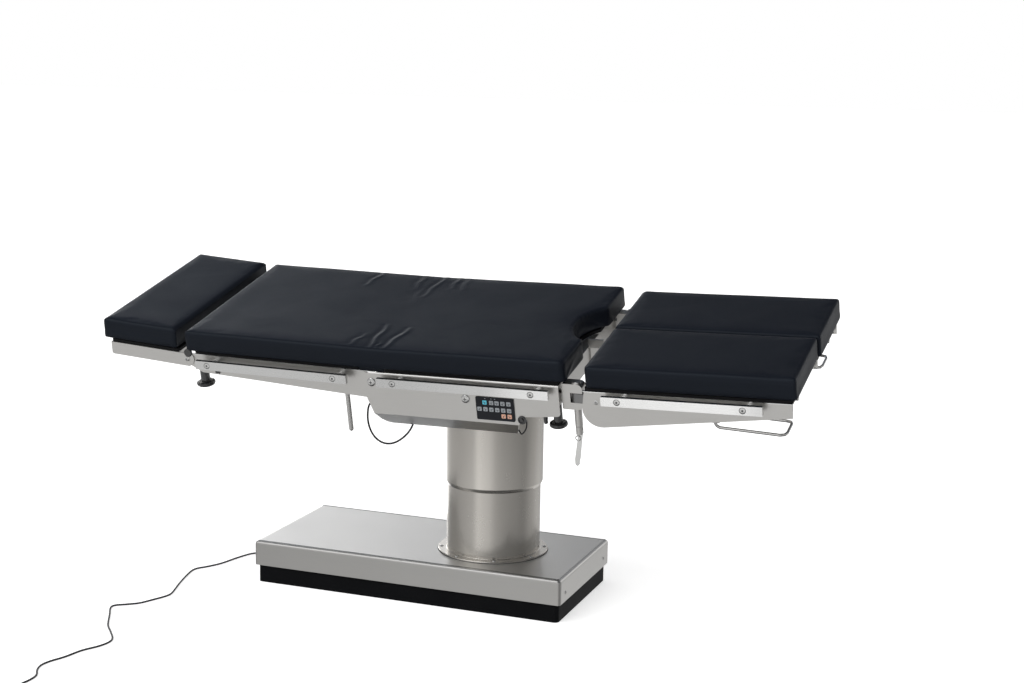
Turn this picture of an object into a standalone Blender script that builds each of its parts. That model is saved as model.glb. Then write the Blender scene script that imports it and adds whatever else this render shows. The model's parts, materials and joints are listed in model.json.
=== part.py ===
"""Operating table with a telescopic column, a tilting and tipping top and a divided leg section.

Metres, +Z up. The origin is on the floor, on the axis of the column. +X points to the foot end, +Y to the
far side. The top is modelled level, in the table frame, whose origin is on the mattress above the column.
Empties then turn each section about its own axis, into the pose of the photograph.
"""
import math

import bmesh
import bpy
from mathutils import Matrix, Vector

# Clearances
GAP = 0.0003
SLIDE_GAP = 0.0010
SWING_GAP = 0.0015
WELD = 0.0015

# Rest pose, degrees: near side down, foot end up, head end up
LATERAL_TILT = 13.8
TIPPING = -0.86
BACK_RISE = 1.33
HEAD_RISE = 3.49
LEG_DROP = -0.81

# Base
BASE_LEFT = -0.6431
BASE_RIGHT = 0.2742
BASE_HALF_WIDTH = 0.2116
COVER_BOTTOM = 0.0506
COVER_TOP = 0.1201
COVER_SHEET = 0.0020
COVER_CORNER = 0.0100
SIDE_PANEL_DEPTH = 0.0110
SIDE_PANEL_ROLL = 0.0080
COVER_RETURN = 0.0140
SKIRT_INSET = 0.0074
SKIRT_WALL = 0.0050
SKIRT_CORNER = 0.0120
TRAY_FLOOR = 0.0040
CHASSIS_HALF_WIDTH = 0.1650
CHASSIS_SHEET = 0.0060
CHASSIS_END_CLEARANCE = 0.0250
POWER_UNIT_LENGTH = 0.2200
POWER_UNIT_HALF_WIDTH = 0.1100
POWER_UNIT_HEIGHT = 0.0850
MOTOR_RADIUS = 0.0380
MOTOR_HEIGHT = 0.0880
GEAR_CASE_HEIGHT = 0.0240

# Column
LOWER_SLEEVE_RADIUS = 0.1307
UPPER_SLEEVE_RADIUS = 0.1367
SLEEVE_WALL = 0.0020
UPPER_RIM_HEIGHT = 0.3112
RIM_CHAMFER_HEIGHT = 0.0100
RIM_CHAMFER_DEPTH = 0.0050
LOWER_SLEEVE_TOP = 0.4000
INNER_SLEEVE_BOTTOM = 0.2150
FLANGE_RADIUS = 0.1541
FLANGE_THICKNESS = 0.0045
GUIDE_MAST_WIDTH = 0.1200
MAST_WALL = 0.0060
MAST_CORNER = 0.0100
SLIDE_MAST_BOTTOM = 0.1900
LIFT_SCREW_RADIUS = 0.0140
LIFT_NUT_HEIGHT = 0.0180
TIP_AXIS_WORLD = (0.0190, 0.0, 0.6655)
HEAD_PLATE_DROP = 0.0905
HEAD_PLATE_BOTTOM = TIP_AXIS_WORLD[2] - HEAD_PLATE_DROP
HEAD_PLATE_THICKNESS = 0.0150
SLEEVE_ABOVE_PLATE = 0.0080

# Tilt cross
TRUNNION_RADIUS = 0.0140
EAR_RADIUS = 0.0210
EAR_THICKNESS = 0.0170
CROSS_HALF_LENGTH = 0.0447
CROSS_HALF_WIDTH = 0.0500
CROSS_HALF_HEIGHT = 0.0280
TIP_SHAFT_RADIUS = 0.0180
TIP_SHAFT_END_RADIUS = 0.0090
SADDLE_CHEEK = 0.0120
SADDLE_CHEEK_RADIUS = 0.0300
SADDLE_HALF_LENGTH = 0.0600
SADDLE_PLATE = 0.0060
DRIVE_LENGTH = 0.0400
DRIVE_HALF_WIDTH = 0.0300
DRIVE_RISE = -0.0010

# Table sections, in the table frame
CUSHION_HALF_WIDTH = 0.2700
CUSHION_THICKNESS = 0.0580
CUSHION_CORNER = 0.0160
BOARD_THICKNESS = 0.0078
SHEET = 0.0030
SIDE_FACE = 0.2720
BOARD_INSET = 0.0060
BOARD_HALF_WIDTH = SIDE_FACE - BOARD_INSET
TIP_AXIS_X = 0.0170
TIP_AXIS_Z = -0.1220
BACK_AXIS_X = -0.2520
BACK_AXIS_Z = -0.0950
HEAD_AXIS_X = -0.8140
HEAD_AXIS_Z = -0.0817
LEG_AXIS_X = 0.3780
LEG_AXIS_Z = -0.0940
LEG_AXIS_SEAT_X = 0.3782
LEG_AXIS_SEAT_Z = -0.1034

# Seat section
SEAT_END = 0.2780
SEAT_CUSHION_END = 0.2983
CASING_FOLD = -0.1870
CASING_BOTTOM = -0.2370
CASING_CHAMFER = 0.0500
CASING_CUT_Z = -0.3000
CASING_FOOT_X = 0.1350
CASING_FOLD_X = 0.1607
CASING_STEP_X = 0.1798
CASING_STEP_Z = -0.1620
CASING_END_Z = -0.1527
CASING_HEAD_CURVE = [
    (-0.2700, -0.1450), (-0.2625, -0.1650), (-0.2545, -0.1870), (-0.2505, -0.2190), (-0.2430, -0.2310),
    (-0.2290, -0.2372)]
CASING_RETURN = 0.0150
CASING_BEND = 0.0050
CASING_EAR_RADIUS = 0.0280
FOLD_BOARD_CLEARANCE = 0.0380
SCOOP_RADIUS = 0.1400
SCOOP_DEPTH = 0.0549
HINGE_PIN_RADIUS = 0.0070
HINGE_PIN_LENGTH = 0.0180
PIN_HEAD_RADIUS = 0.0120
PIN_HEAD_HEIGHT = 0.0042
KEYPAD_LEFT = 0.0465
KEYPAD_WIDTH = 0.1065
KEYPAD_TOP = -0.1120
KEYPAD_HEIGHT = 0.0652
KEYPAD_THICKNESS = 0.0026
KEYPAD_CORNER = 0.0030
SOCKET_X = 0.1735
SOCKET_Z = -0.1650
SOCKET_RADIUS = 0.0105
SOCKET_LENGTH = 0.0220
LEAD_RADIUS = 0.0019
HANGING_LEAD_RADIUS = 0.0027

# Accessory rails
RAIL_HEIGHT = 0.0250
RAIL_THICKNESS = 0.0100
RAIL_STANDOFF = 0.0180
RAIL_POST_RADIUS = 0.0090
RAIL_EDGE = 0.0015
RAIL_Z = -0.0835
SEAT_RAIL_LEFT = -0.2253
SEAT_RAIL_RIGHT = 0.2586
SEAT_RAIL_POSTS = (-0.1662, 0.2230)
BACK_RAIL_LEFT = -0.7740
BACK_RAIL_RIGHT = -0.3136
BACK_RAIL_POSTS = (-0.7261, -0.3419)
LEG_RAIL_Z = -0.0775
LEG_RAIL_LEFT = 0.3994
LEG_RAIL_RIGHT = 0.8137
LEG_RAIL_POSTS = (0.4540, 0.7760)

# Clamp knobs
SEAT_KNOB_X = 0.2590
SEAT_KNOB_BOTTOM = -0.1990
SEAT_KNOB_RADIUS = 0.0245
SEAT_KNOB_STEM = 0.0120
HEAD_KNOB_X = -0.7880
HEAD_KNOB_BOTTOM = -0.1740
HEAD_KNOB_RADIUS = 0.0265
HEAD_KNOB_STEM = 0.0130
KNOB_DISC_HEIGHT = 0.0150
KNOB_OFFSET = 0.2370
PLUNGER_X = 0.2240
PLUNGER_RADIUS = 0.0060
PLUNGER_BOTTOM = -0.1930

# Leg joints
BEAM_LEFT = 0.2140
BEAM_RIGHT = 0.2740
BEAM_HEIGHT = 0.0580
BEAM_WALL = 0.0050
STOP_BAR_END = 0.3160
STOP_BAR_TOP = -0.0490
STOP_BAR_HEIGHT = 0.0240
STOP_BAR_THICKNESS = 0.0060
SPIGOT_WIDTH = 0.0240
BLOCK_LEFT = 0.2815
BLOCK_RIGHT = 0.3370
BLOCK_TOP = -0.0650
BLOCK_BOTTOM = -0.1365
BLOCK_INNER = 0.2240
BLOCK_OUTER = 0.2570
BLOCK_CORNER = 0.0140
SLOT_HEIGHT = 0.0270
SPINDLE_X = 0.3185
SPINDLE_OFFSET = 0.2450
SPINDLE_RADIUS = 0.0100
SPINDLE_TOP = -0.0600
SPINDLE_BOTTOM = -0.2100
SPINDLE_CAP_RADIUS = 0.0125
ARM_HEIGHT = 0.0250
ARM_WIDTH = 0.0260
CLAMP_PIN_Z = -0.2035
CLAMP_LEVER_LENGTH = 0.1010
CLAMP_LEVER_WIDTH = 0.0124

# Leg sections, in the leg frame
LEG_CUSHION_START = 0.3465
LEG_PANEL_LEFT = 0.3390
LEG_PANEL_END = 0.8820
LEG_CUSHION_OVERHANG = 0.0100
LEG_CUSHION_END = LEG_PANEL_END + LEG_CUSHION_OVERHANG
LEG_SPLIT = 0.0030
LEG_INNER_FLANGE = 0.0200
LEG_BIG_RADIUS = 0.0500
LEG_PANEL_DEPTH = 0.1640
LEG_PANEL_END_DEPTH = 0.1034
FAR_LEG_PULL = 0.0065
HANDLE_ROD_RADIUS = 0.0040
HANDLE_AXIS_X = 0.6800
HANDLE_AXIS_Z = -0.1330
HANDLE_END = 0.8585
HANDLE_DROP = -0.1610
HANDLE_OUTER = 0.2500
HANDLE_INNER = 0.1680

# Back section
BACK_PANEL_LEFT = -0.8040
BACK_PANEL_DEPTH_LEFT = -0.1200
BACK_PANEL_DEPTH_RIGHT = -0.1440
BACK_CUSHION_LEFT = -0.8120
BACK_LEVER_X = -0.3380
BACK_LEVER_PIVOT_Z = -0.1260
BACK_LEVER_END = -0.2590
BACK_LEVER_RADIUS = 0.0065
HINGE_TUBE_RADIUS = 0.0120

# Head section
HEAD_CUSHION_LEFT = -1.0800
HEAD_CUSHION_RIGHT = -0.8510
HEAD_PANEL_LEFT = -1.0600
HEAD_PANEL_DEPTH = -0.1030
HEAD_EAR_RADIUS = 0.0190
HEAD_PIN_RADIUS = 0.0050

# Mains cord
CORD_RADIUS = 0.0024
CORD_HEIGHT = 0.0027
GLAND_Y = 0.0200
GLAND_Z = 0.0270
GLAND_RADIUS = 0.0090
GLAND_LENGTH = 0.0300
COIL_TURNS_RADIUS = 0.0300
COIL_RING_RADIUS = 0.0085
PLUG_LENGTH = 0.0500
PLUG_WIDTH = 0.0420
PLUG_HEIGHT = 0.0180
PLUG_RELIEF_RADIUS = 0.0042

ROUND_STEPS = 48
FINE_STEPS = 16
BORE_STEPS = 32


def material(name, colour, roughness, metallic):
    """Return the named Principled material, made on its first use."""
    found = bpy.data.materials.get(name)
    if found:
        return found
    made = bpy.data.materials.new(name)
    made.use_nodes = True
    shader = made.node_tree.nodes["Principled BSDF"]
    shader.inputs["Base Color"].default_value = (*colour, 1.0)
    shader.inputs["Roughness"].default_value = roughness
    shader.inputs["Metallic"].default_value = metallic
    made.diffuse_color = (*colour, 1.0)
    return made


def steel():
    return material("brushed_stainless", (0.62, 0.61, 0.59), 0.34, 1.0)


def rail_steel():
    return material("rail_steel", (0.74, 0.74, 0.73), 0.24, 1.0)


def dark_steel():
    return material("dark_steel", (0.16, 0.16, 0.17), 0.5, 0.8)


def black_plastic():
    return material("black_plastic", (0.02, 0.02, 0.022), 0.35, 0.0)


def laminate():
    return material("black_laminate", (0.03, 0.03, 0.032), 0.45, 0.0)


def pad_cover():
    return material("pad_cover", (0.018, 0.02, 0.03), 0.5, 0.0)


def film():
    return material("keypad_film", (0.72, 0.74, 0.76), 0.4, 0.0)


def cable():
    return material("cable_jacket", (0.02, 0.02, 0.022), 0.5, 0.0)


def solid(name, shape, look, smooth=True):
    """Turn a bmesh into a named object with outward faces."""
    bmesh.ops.recalc_face_normals(shape, faces=shape.faces)
    mesh = bpy.data.meshes.new(name)
    shape.to_mesh(mesh)
    shape.free()
    made = bpy.data.objects.new(name, mesh)
    bpy.context.collection.objects.link(made)
    mesh.materials.append(look)
    if smooth:
        mesh.shade_smooth()
        mesh.set_sharp_from_angle(angle=math.radians(35))
    return made


def lay_out(point, axis, along):
    """Place a 2-D outline point on the plane that is square to the axis."""
    first, second = point
    if axis == "X":
        return Vector((along, first, second))
    if axis == "Y":
        return Vector((first, along, second))
    return Vector((first, second, along))


def prism(outline, axis, start, end):
    """Extrude a closed outline along an axis. Outlines are (y, z), (x, z) or (x, y)."""
    shape = bmesh.new()
    corners = [shape.verts.new(lay_out(point, axis, start)) for point in outline]
    face = shape.faces.new(corners)
    grown = bmesh.ops.extrude_face_region(shape, geom=[face])
    moved = [item for item in grown["geom"] if isinstance(item, bmesh.types.BMVert)]
    bmesh.ops.translate(shape, verts=moved, vec=lay_out((0.0, 0.0), axis, end - start))
    return shape


def tube_prism(outer, inner, axis, start, end):
    """Extrude the band between two outlines that have as many points each."""
    shape = bmesh.new()
    loops = []
    for outline in (outer, inner):
        for along in (start, end):
            loops.append([shape.verts.new(lay_out(point, axis, along)) for point in outline])
    outer_start, outer_end, inner_start, inner_end = loops
    count = len(outer)
    for index in range(count):
        after = (index + 1) % count
        for one, two in ((outer_start, outer_end), (inner_end, inner_start),
                         (inner_start, outer_start), (outer_end, inner_end)):
            shape.faces.new((one[index], one[after], two[after], two[index]))
    return shape


def turned(profile, centre, axis="Z", steps=FINE_STEPS, ring=False):
    """Turn a profile of (radius, height) round an axis. A ring's profile is closed on itself."""
    shape = bmesh.new()
    circles = []
    for radius, height in profile:
        circle = []
        for step in range(steps if radius > 0.0 else 1):
            angle = 2.0 * math.pi * (step + 0.5) / steps
            across = (radius * math.cos(angle), radius * math.sin(angle))
            circle.append(shape.verts.new(Vector(centre) + lay_out(across, axis, height)))
        circles.append(circle)
    pairs = list(zip(circles, circles[1:]))
    if ring:
        pairs.append((circles[-1], circles[0]))
    for lower, upper in pairs:
        for step in range(steps):
            after = (step + 1) % steps
            corners = [lower[step % len(lower)], lower[after % len(lower)],
                       upper[after % len(upper)], upper[step % len(upper)]]
            face = list(dict.fromkeys(corners))
            if len(face) > 2:
                shape.faces.new(face)
    if not ring:
        for circle in (circles[0], circles[-1]):
            if len(circle) > 1:
                shape.faces.new(circle)
    return shape


def rod(radius, start, end, centre, axis="Z", steps=FINE_STEPS):
    """A plain cylinder between two places along an axis."""
    base = list(centre)
    base["XYZ".index(axis)] = 0.0
    return turned([(radius, start), (radius, end)], base, axis, steps)


def rounded(corners, radii, steps=4):
    """Round the corners of an outline with arcs. A radius of 0 keeps a sharp corner."""
    points = []
    count = len(corners)
    for index, corner in enumerate(corners):
        radius = radii[index] if isinstance(radii, (list, tuple)) else radii
        here = Vector(corner)
        back = (Vector(corners[index - 1]) - here)
        ahead = (Vector(corners[(index + 1) % count]) - here)
        if radius <= 0.0:
            points.append(tuple(here))
            continue
        half = back.angle(ahead) / 2.0
        reach = min(radius / math.tan(half), 0.49 * back.length, 0.49 * ahead.length)
        fitted = reach * math.tan(half)
        bisector = (back.normalized() + ahead.normalized()).normalized()
        middle = here + bisector * (fitted / math.sin(half))
        first = here + back.normalized() * reach - middle
        last = here + ahead.normalized() * reach - middle
        turn = first.angle_signed(last)
        for step in range(steps + 1):
            angle = -turn * step / steps
            spun = Vector((first.x * math.cos(angle) - first.y * math.sin(angle),
                           first.x * math.sin(angle) + first.y * math.cos(angle)))
            points.append(tuple(middle + spun))
    return points


def box_outline(left, right, bottom, top):
    return [(left, bottom), (right, bottom), (right, top), (left, top)]


def soft_box(size, centre, radius, segments=2):
    """A box with all its edges rounded."""
    shape = bmesh.new()
    bmesh.ops.create_cube(shape, size=1.0)
    bmesh.ops.scale(shape, vec=Vector(size), verts=shape.verts)
    bmesh.ops.translate(shape, vec=Vector(centre), verts=shape.verts)
    if radius > 0.0:
        bmesh.ops.bevel(shape, geom=shape.edges[:], offset=radius, segments=segments, profile=0.5,
                        affect="EDGES", clamp_overlap=True)
    return shape


def combine(target, shape, operation):
    """Apply an exact Boolean with a shape that is then thrown away."""
    tool = solid("tool", shape, target.data.materials[0], False)
    step = target.modifiers.new("step", "BOOLEAN")
    step.operation = operation
    step.solver = "EXACT"
    step.object = tool
    graph = bpy.context.evaluated_depsgraph_get()
    baked = bpy.data.meshes.new_from_object(target.evaluated_get(graph))
    target.modifiers.clear()
    target.data = baked
    bpy.data.objects.remove(tool)
    return target


def cut(target, *shapes):
    for shape in shapes:
        combine(target, shape, "DIFFERENCE")
    return target


def join(target, *shapes):
    for shape in shapes:
        combine(target, shape, "UNION")
    return target


def keep_inside(target, shape):
    return combine(target, shape, "INTERSECT")


def smooth(target, angle=35):
    target.data.shade_smooth()
    target.data.set_sharp_from_angle(angle=math.radians(angle))
    return target


def tube(name, route, radius, look, spacing, sides=2):
    """A round cord through hand-chosen route points, on a smooth curve read at even steps."""
    points = smooth_route(route, spacing)
    curve = bpy.data.curves.new(name, "CURVE")
    curve.dimensions = "3D"
    curve.bevel_depth = radius
    curve.bevel_resolution = sides
    curve.use_fill_caps = True
    line = curve.splines.new("POLY")
    line.points.add(len(points) - 1)
    for place, point in zip(line.points, points):
        place.co = (*point, 1.0)
    made = bpy.data.objects.new(name, curve)
    curve.materials.append(look)
    bpy.context.collection.objects.link(made)
    return made


def smooth_route(route, spacing):
    """Points about one spacing apart along a Catmull-Rom curve through the route."""
    places = [Vector(point) for point in route]
    places = [2 * places[0] - places[1]] + places + [2 * places[-1] - places[-2]]
    dense = []
    for index in range(1, len(places) - 2):
        before, start, end, after = places[index - 1:index + 3]
        for step in range(12):
            t = step / 12.0
            dense.append(0.5 * (2 * start + (end - before) * t
                                + (2 * before - 5 * start + 4 * end - after) * t ** 2
                                + (3 * start - before - 3 * end + after) * t ** 3))
    dense.append(places[-2])
    length = sum((b - a).length for a, b in zip(dense, dense[1:]))
    count = max(2, round(length / spacing))
    wanted = [length * index / count for index in range(1, count)]
    points = [dense[0]]
    run = 0.0
    for start, end in zip(dense, dense[1:]):
        step = (end - start).length
        while wanted and run + step >= wanted[0]:
            points.append(start.lerp(end, (wanted.pop(0) - run) / step))
        run += step
    points.append(dense[-1])
    return points


class Section:
    """A rigid group of pieces that turns or slides on one empty, at its joint's axis."""

    def __init__(self, name, pivot, parent=None, place=None, turn=(0.0, 0.0, 0.0)):
        self.pivot = Vector(pivot)
        self.empty = bpy.data.objects.new(name, None)
        bpy.context.collection.objects.link(self.empty)
        self.empty.rotation_euler = tuple(math.radians(angle) for angle in turn)
        if parent:
            self.empty.parent = parent.empty
            self.empty.location = Vector(place) - parent.pivot
        elif place:
            self.empty.location = Vector(place)

    def carry(self, piece, origin=None):
        """Parent a piece, with its own origin at the given point of the section's frame."""
        origin = self.pivot if origin is None else Vector(origin)
        if piece.type == "MESH":
            piece.data.transform(Matrix.Translation(-origin))
        else:
            for spline in piece.data.splines:
                for point in spline.points:
                    point.co = (*(Vector(point.co[:3]) - origin), 1.0)
        piece.parent = self.empty
        piece.location = origin - self.pivot
        return piece


def cover_outline(inset):
    """The base's side view: a long cover with rounded top corners."""
    left = BASE_LEFT + inset
    right = BASE_RIGHT - inset
    top = COVER_TOP - inset
    radius = max(COVER_CORNER - inset, 0.001)
    return rounded([(left, COVER_BOTTOM), (right, COVER_BOTTOM), (right, top), (left, top)],
                   [0.0, 0.0, radius, radius])


def make_base(base):
    cover_side = BASE_HALF_WIDTH - SIDE_PANEL_DEPTH - GAP
    cover = solid("base_cover", prism(cover_outline(0.0), "Y", -cover_side, cover_side), steel())
    inside = cover_outline(COVER_SHEET)
    inside[0] = (BASE_LEFT + COVER_SHEET, COVER_BOTTOM + COVER_SHEET)
    inside[1] = (BASE_RIGHT - COVER_SHEET, COVER_BOTTOM + COVER_SHEET)
    opening = box_outline(BASE_LEFT + COVER_RETURN, BASE_RIGHT - COVER_RETURN,
                          COVER_BOTTOM - 0.01, COVER_BOTTOM + 2 * COVER_SHEET)
    hole = LOWER_SLEEVE_RADIUS - SLEEVE_WALL
    cut(cover, prism(inside, "Y", -BASE_HALF_WIDTH, BASE_HALF_WIDTH),
        prism(opening, "Y", -BASE_HALF_WIDTH, BASE_HALF_WIDTH),
        rod(hole, COVER_BOTTOM, COVER_TOP + 0.01, (0, 0, 0), steps=ROUND_STEPS))
    base.carry(smooth(cover))
    for name, side in (("near", -1), ("far", 1)):
        base.carry(side_panel("base_side_" + name, side))
    base.carry(base_tray())
    base.carry(base_chassis())
    base.carry(power_unit())
    low = COVER_TOP + GAP
    high = COVER_TOP + FLANGE_THICKNESS
    edge = FLANGE_THICKNESS / 4
    flanged = [(LOWER_SLEEVE_RADIUS - SLEEVE_WALL, low), (FLANGE_RADIUS, low), (FLANGE_RADIUS, high - edge),
               (FLANGE_RADIUS - edge, high), (LOWER_SLEEVE_RADIUS, high),
               (LOWER_SLEEVE_RADIUS, LOWER_SLEEVE_TOP), (LOWER_SLEEVE_RADIUS - SLEEVE_WALL, LOWER_SLEEVE_TOP)]
    base.carry(solid("lower_sleeve", turned(flanged, (0, 0, 0), "Z", ROUND_STEPS, True), steel()))
    mast = square_tube(GUIDE_MAST_WIDTH, MAST_WALL, MAST_CORNER, chassis_top() + GAP, LOWER_SLEEVE_TOP)
    base.carry(solid("guide_mast", mast, dark_steel()))


def chassis_top():
    return TRAY_FLOOR + GAP + CHASSIS_SHEET


def side_panel(name, side):
    """A folded side panel with a rolled top and ends, open at its foot."""
    outer = prism(cover_outline(0.0), "Y", 0.0, -SIDE_PANEL_DEPTH)
    rolled = [edge for edge in outer.edges
              if all(vert.co.y < -SIDE_PANEL_DEPTH + 1e-6 for vert in edge.verts)
              and max(vert.co.z for vert in edge.verts) > COVER_BOTTOM + 1e-6]
    bmesh.ops.bevel(outer, geom=rolled, offset=SIDE_PANEL_ROLL, segments=4, profile=0.5, affect="EDGES",
                    clamp_overlap=False)
    panel = solid(name, outer, steel())
    hollow = prism(cover_outline(COVER_SHEET), "Y", 0.01, -SIDE_PANEL_DEPTH + COVER_SHEET)
    rolled = [edge for edge in hollow.edges
              if all(vert.co.y < -SIDE_PANEL_DEPTH + COVER_SHEET + 1e-6 for vert in edge.verts)
              and max(vert.co.z for vert in edge.verts) > COVER_BOTTOM + 1e-6]
    bmesh.ops.bevel(hollow, geom=rolled, offset=SIDE_PANEL_ROLL - COVER_SHEET, segments=4, profile=0.5,
                    affect="EDGES", clamp_overlap=False)
    for vert in hollow.verts:
        if vert.co.z < COVER_BOTTOM + 1e-6:
            vert.co.z += COVER_SHEET
    cut(panel, hollow)
    panel.data.transform(Matrix.Translation((0.0, -(BASE_HALF_WIDTH - SIDE_PANEL_DEPTH), 0.0)))
    if side > 0:
        panel.data.transform(Matrix.Diagonal((1.0, -1.0, 1.0, 1.0)))
        panel.data.flip_normals()
    return smooth(panel)


def base_tray():
    """The dark skirt that stands on the floor, with the cover's edge resting on its wall."""
    left = BASE_LEFT + SKIRT_INSET
    right = BASE_RIGHT - SKIRT_INSET
    half = BASE_HALF_WIDTH - SKIRT_INSET
    top = COVER_BOTTOM - GAP
    outer = rounded(box_outline(left, right, -half, half), SKIRT_CORNER)
    inner = rounded(box_outline(left + SKIRT_WALL, right - SKIRT_WALL, -half + SKIRT_WALL,
                                half - SKIRT_WALL), SKIRT_CORNER - SKIRT_WALL)
    tray = solid("base_tray", prism(outer, "Z", 0.0, top), black_plastic())
    cut(tray, prism(inner, "Z", TRAY_FLOOR, top + 0.01),
        rod(GLAND_RADIUS * 0.6 + GAP, BASE_LEFT - 0.01, left + 2 * SKIRT_WALL, (0, GLAND_Y, GLAND_Z), "X"))
    return smooth(tray)


def base_chassis():
    """A channel-shaped frame that carries the mast and the cover, with the lift's motor and screw on it."""
    half = CHASSIS_HALF_WIDTH
    low = TRAY_FLOOR + GAP
    high = COVER_TOP - COVER_SHEET - GAP
    outline = [(-half, low), (half, low), (half, high), (half - CHASSIS_SHEET, high),
               (half - CHASSIS_SHEET, low + CHASSIS_SHEET), (-half + CHASSIS_SHEET, low + CHASSIS_SHEET),
               (-half + CHASSIS_SHEET, high), (-half, high)]
    made = solid("base_chassis", prism(outline, "X", BASE_LEFT + CHASSIS_END_CLEARANCE,
                                       BASE_RIGHT - CHASSIS_END_CLEARANCE), dark_steel())
    floor = chassis_top() - WELD
    collar = 2 * LIFT_SCREW_RADIUS
    screw = [(0.0, floor), (collar, floor), (collar, floor + 0.008), (LIFT_SCREW_RADIUS, floor + 0.010),
             (LIFT_SCREW_RADIUS, LOWER_SLEEVE_TOP - 0.012), (0.0, LOWER_SLEEVE_TOP - 0.010)]
    motor_x = -(LOWER_SLEEVE_RADIUS + 2 * MOTOR_RADIUS)
    mast_face = -GUIDE_MAST_WIDTH / 2 - GAP
    half = MOTOR_RADIUS
    case = rounded(box_outline(motor_x - half, mast_face, -half, half), [half * 0.9, 0.002, 0.002, half * 0.9])
    join(made, turned(screw, (0, 0, 0)), prism(case, "Z", floor, floor + GEAR_CASE_HEIGHT),
         rod(half - 0.003, floor + GEAR_CASE_HEIGHT - WELD, floor + MOTOR_HEIGHT, (motor_x, 0, 0)))
    return smooth(made)


def power_unit():
    left = BASE_LEFT + 4 * CHASSIS_END_CLEARANCE
    bottom = chassis_top() + GAP
    size = (POWER_UNIT_LENGTH, 2 * POWER_UNIT_HALF_WIDTH, POWER_UNIT_HEIGHT)
    centre = (left + POWER_UNIT_LENGTH / 2, 0.0, bottom + POWER_UNIT_HEIGHT / 2)
    return solid("power_unit", soft_box(size, centre, 0.004), dark_steel())


def sleeve(name, radius, bottom, top):
    profile = [(radius - SLEEVE_WALL, bottom), (radius, bottom), (radius, top), (radius - SLEEVE_WALL, top)]
    return solid(name, turned(profile, (0, 0, 0), "Z", ROUND_STEPS, True), steel())


def square_tube(width, wall, corner, bottom, top):
    half = width / 2
    outer = rounded(box_outline(-half, half, -half, half), corner, 3)
    inner = rounded(box_outline(-half + wall, half - wall, -half + wall, half - wall), corner - wall / 2, 3)
    return tube_prism(outer, inner, "Z", bottom, top)


def make_lift(lift):
    plate_top = HEAD_PLATE_BOTTOM + HEAD_PLATE_THICKNESS
    top = plate_top + SLEEVE_ABOVE_PLATE
    rim = UPPER_SLEEVE_RADIUS - RIM_CHAMFER_DEPTH
    inner = UPPER_SLEEVE_RADIUS - SLEEVE_WALL
    bevel_top = UPPER_RIM_HEIGHT + RIM_CHAMFER_HEIGHT
    profile = [(rim, UPPER_RIM_HEIGHT), (UPPER_SLEEVE_RADIUS, bevel_top), (UPPER_SLEEVE_RADIUS, top),
               (inner, top), (inner, bevel_top + SLEEVE_WALL), (rim, UPPER_RIM_HEIGHT + SLEEVE_WALL)]
    lift.carry(solid("upper_sleeve", turned(profile, (0, 0, 0), "Z", ROUND_STEPS, True), steel()))
    hidden = LOWER_SLEEVE_RADIUS - SLEEVE_WALL - SLIDE_GAP
    width = GUIDE_MAST_WIDTH - 2 * (MAST_WALL + SLIDE_GAP)
    mast = solid("slide_mast", square_tube(width, MAST_WALL, MAST_CORNER / 2, SLIDE_MAST_BOTTOM,
                                           HEAD_PLATE_BOTTOM + 0.002), dark_steel())
    half = width / 2 - MAST_WALL / 2
    nut = prism(box_outline(-half, half, -half, half), "Z", SLIDE_MAST_BOTTOM,
                SLIDE_MAST_BOTTOM + LIFT_NUT_HEIGHT)
    skirt = [(hidden - SLEEVE_WALL, INNER_SLEEVE_BOTTOM), (hidden, INNER_SLEEVE_BOTTOM),
             (hidden, HEAD_PLATE_BOTTOM + WELD), (hidden - SLEEVE_WALL, HEAD_PLATE_BOTTOM + WELD)]
    join(mast, nut, rod(inner - GAP, HEAD_PLATE_BOTTOM, plate_top, (0, 0, 0), steps=ROUND_STEPS),
         turned(skirt, (0, 0, 0), "Z", ROUND_STEPS, True))
    cut(mast, rod(LIFT_SCREW_RADIUS + GAP, SLIDE_MAST_BOTTOM - 0.01, SLIDE_MAST_BOTTOM + 0.05, (0, 0, 0)))
    axis_x, _, axis_z = TIP_AXIS_WORLD
    for side in (-1, 1):
        start = axis_x + side * (CROSS_HALF_LENGTH + GAP)
        end = start + side * EAR_THICKNESS
        foot = [(-EAR_RADIUS, plate_top - 0.002), (EAR_RADIUS, plate_top - 0.002), (EAR_RADIUS, axis_z)]
        arc = [(EAR_RADIUS * math.cos(math.pi * n / 12), axis_z + EAR_RADIUS * math.sin(math.pi * n / 12))
               for n in range(1, 12)]
        join(mast, prism(foot + arc + [(-EAR_RADIUS, axis_z)], "X", start, end))
        cut(mast, rod(TRUNNION_RADIUS + GAP, start - 0.01 * side, end + 0.01 * side, (0, 0, axis_z), "X"))
    join(mast, side_tilt_drive(plate_top, axis_x, axis_z))
    lift.carry(smooth(mast))


def side_tilt_drive(plate_top, axis_x, axis_z):
    """The gear housing on the column head, behind one ear, that turns the side tilt."""
    near = axis_x - CROSS_HALF_LENGTH - 2 * GAP - EAR_THICKNESS
    far = near - DRIVE_LENGTH
    top = axis_z + DRIVE_RISE
    outline = rounded(box_outline(far, near, plate_top - WELD, top), [0.0, 0.0, 0.004, 0.004])
    return prism(outline, "Y", -DRIVE_HALF_WIDTH, DRIVE_HALF_WIDTH)


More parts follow.
